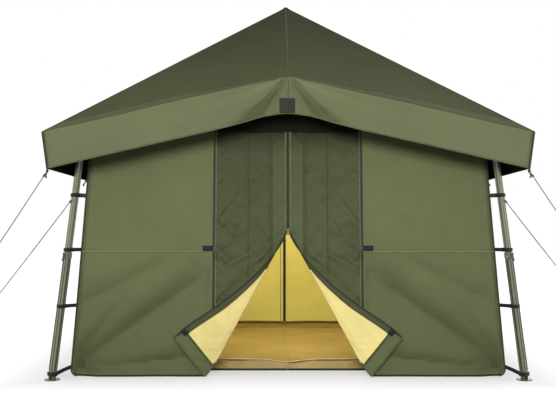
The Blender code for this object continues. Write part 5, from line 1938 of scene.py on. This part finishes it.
class TENT_OT_studio(bpy.types.Operator):
    """Adds the camera, lamps, pale floor with a painted shadow round the tent, and white surroundings"""

    bl_idname = "tent.studio"
    bl_label = "Add Studio"

    def execute(self, context):
        data = bpy.data.cameras.new("camera")
        data.lens = LENS
        data.sensor_width = SENSOR
        data.clip_end = 200.0
        camera = linked("camera", data)
        camera.location = CAMERA_PLACE
        camera.rotation_euler = (math.radians(90 + CAMERA_TILT), 0, 0)
        context.scene.camera = camera

        for values in LAMPS:
            lamp(*values)

        world = bpy.data.worlds.new("studio")
        context.scene.world = world
        world.use_nodes = True
        tree = world.node_tree
        tree.nodes.clear()
        height = parted(tree, shader_node(tree, "TexCoord").outputs["Generated"])[2]
        sky = ranged(tree, height, (-0.1, 0.8), (0.08, 0.6))
        light = shader_node(tree, "Background", {"Color": WHITE, "Strength": sky}).outputs[0]
        white = shader_node(tree, "Background", {"Color": WHITE, "Strength": 1.0}).outputs[0]
        both = shader_node(tree, "MixShader", {0: seen_directly(tree), 1: light, 2: white})
        shader_node(tree, "OutputWorld", {"Surface": both.outputs[0]})

        bm = bmesh.new()
        bmesh.ops.create_grid(bm, x_segments=2, y_segments=2, size=40)
        mesh = bpy.data.meshes.new("studio_floor")
        bm.to_mesh(mesh)
        bm.free()
        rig.stage(linked("studio_floor", mesh))
        levels = {"Base Color": (0.28, 0.28, 0.28, 1), "Roughness": 0.9, "Specular IOR Level": 0.0}
        material, tree, shader = blank("studio_floor", levels | {"Emission Color": WHITE})
        x, y, _ = parted(tree, object_place(tree))
        reach = arithmetic(tree, "MAXIMUM", arithmetic(tree, "ABSOLUTE", x), arithmetic(tree, "ABSOLUTE", y))
        # Weaker glow near the tent: a painted shadow round its foot, on top of the lamps' own shadows
        glow = ranged(tree, reach, (1.3, 2.3), (0.45, 1.0))
        glow = arithmetic(tree, "MULTIPLY", seen_directly(tree), glow)
        tree.links.new(glow, shader.inputs["Emission Strength"])
        mesh.materials.append(material)
        context.scene.view_settings.view_transform = "Standard"
        return {"FINISHED"}


class TENT_PT_panel(bpy.types.Panel):
    bl_idname = "TENT_PT_panel"
    bl_label = "Frame Tent"
    bl_space_type = "VIEW_3D"
    bl_region_type = "UI"
    bl_category = "Tent"

    def draw(self, context):
        for group in (context.scene.tent_sizes, context.scene.tent_colours):
            box = self.layout.box()
            for name in group.__annotations__:
                box.prop(group, name)
        for operator in OPERATORS:
            self.layout.operator(operator.bl_idname)


OPERATORS = (
    TENT_OT_studio,
    TENT_OT_ropes,
    TENT_OT_canopy,
    TENT_OT_walls,
    TENT_OT_door,
    TENT_OT_floor,
    TENT_OT_frame,
    TENT_OT_straps,
)
CLASSES = (TentSizes, TentColours, *OPERATORS, TENT_PT_panel)


def register():
    for cls in CLASSES:
        bpy.utils.register_class(cls)
    bpy.types.Scene.tent_sizes = PointerProperty(type=TentSizes)
    bpy.types.Scene.tent_colours = PointerProperty(type=TentColours)


def unregister():
    del bpy.types.Scene.tent_colours
    del bpy.types.Scene.tent_sizes
    for cls in reversed(CLASSES):
        bpy.utils.unregister_class(cls)


def main():
    register()
    for operator in OPERATORS:
        getattr(bpy.ops.tent, operator.bl_idname.removeprefix("tent."))()
    boxes = {"cad": [list(corner) for corner in CAD_BOX], "visual": [list(corner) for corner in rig.bounds()]}
    with open("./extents.json", "w") as handle:
        json.dump(boxes, handle)


if __name__ == "__main__":
    main()
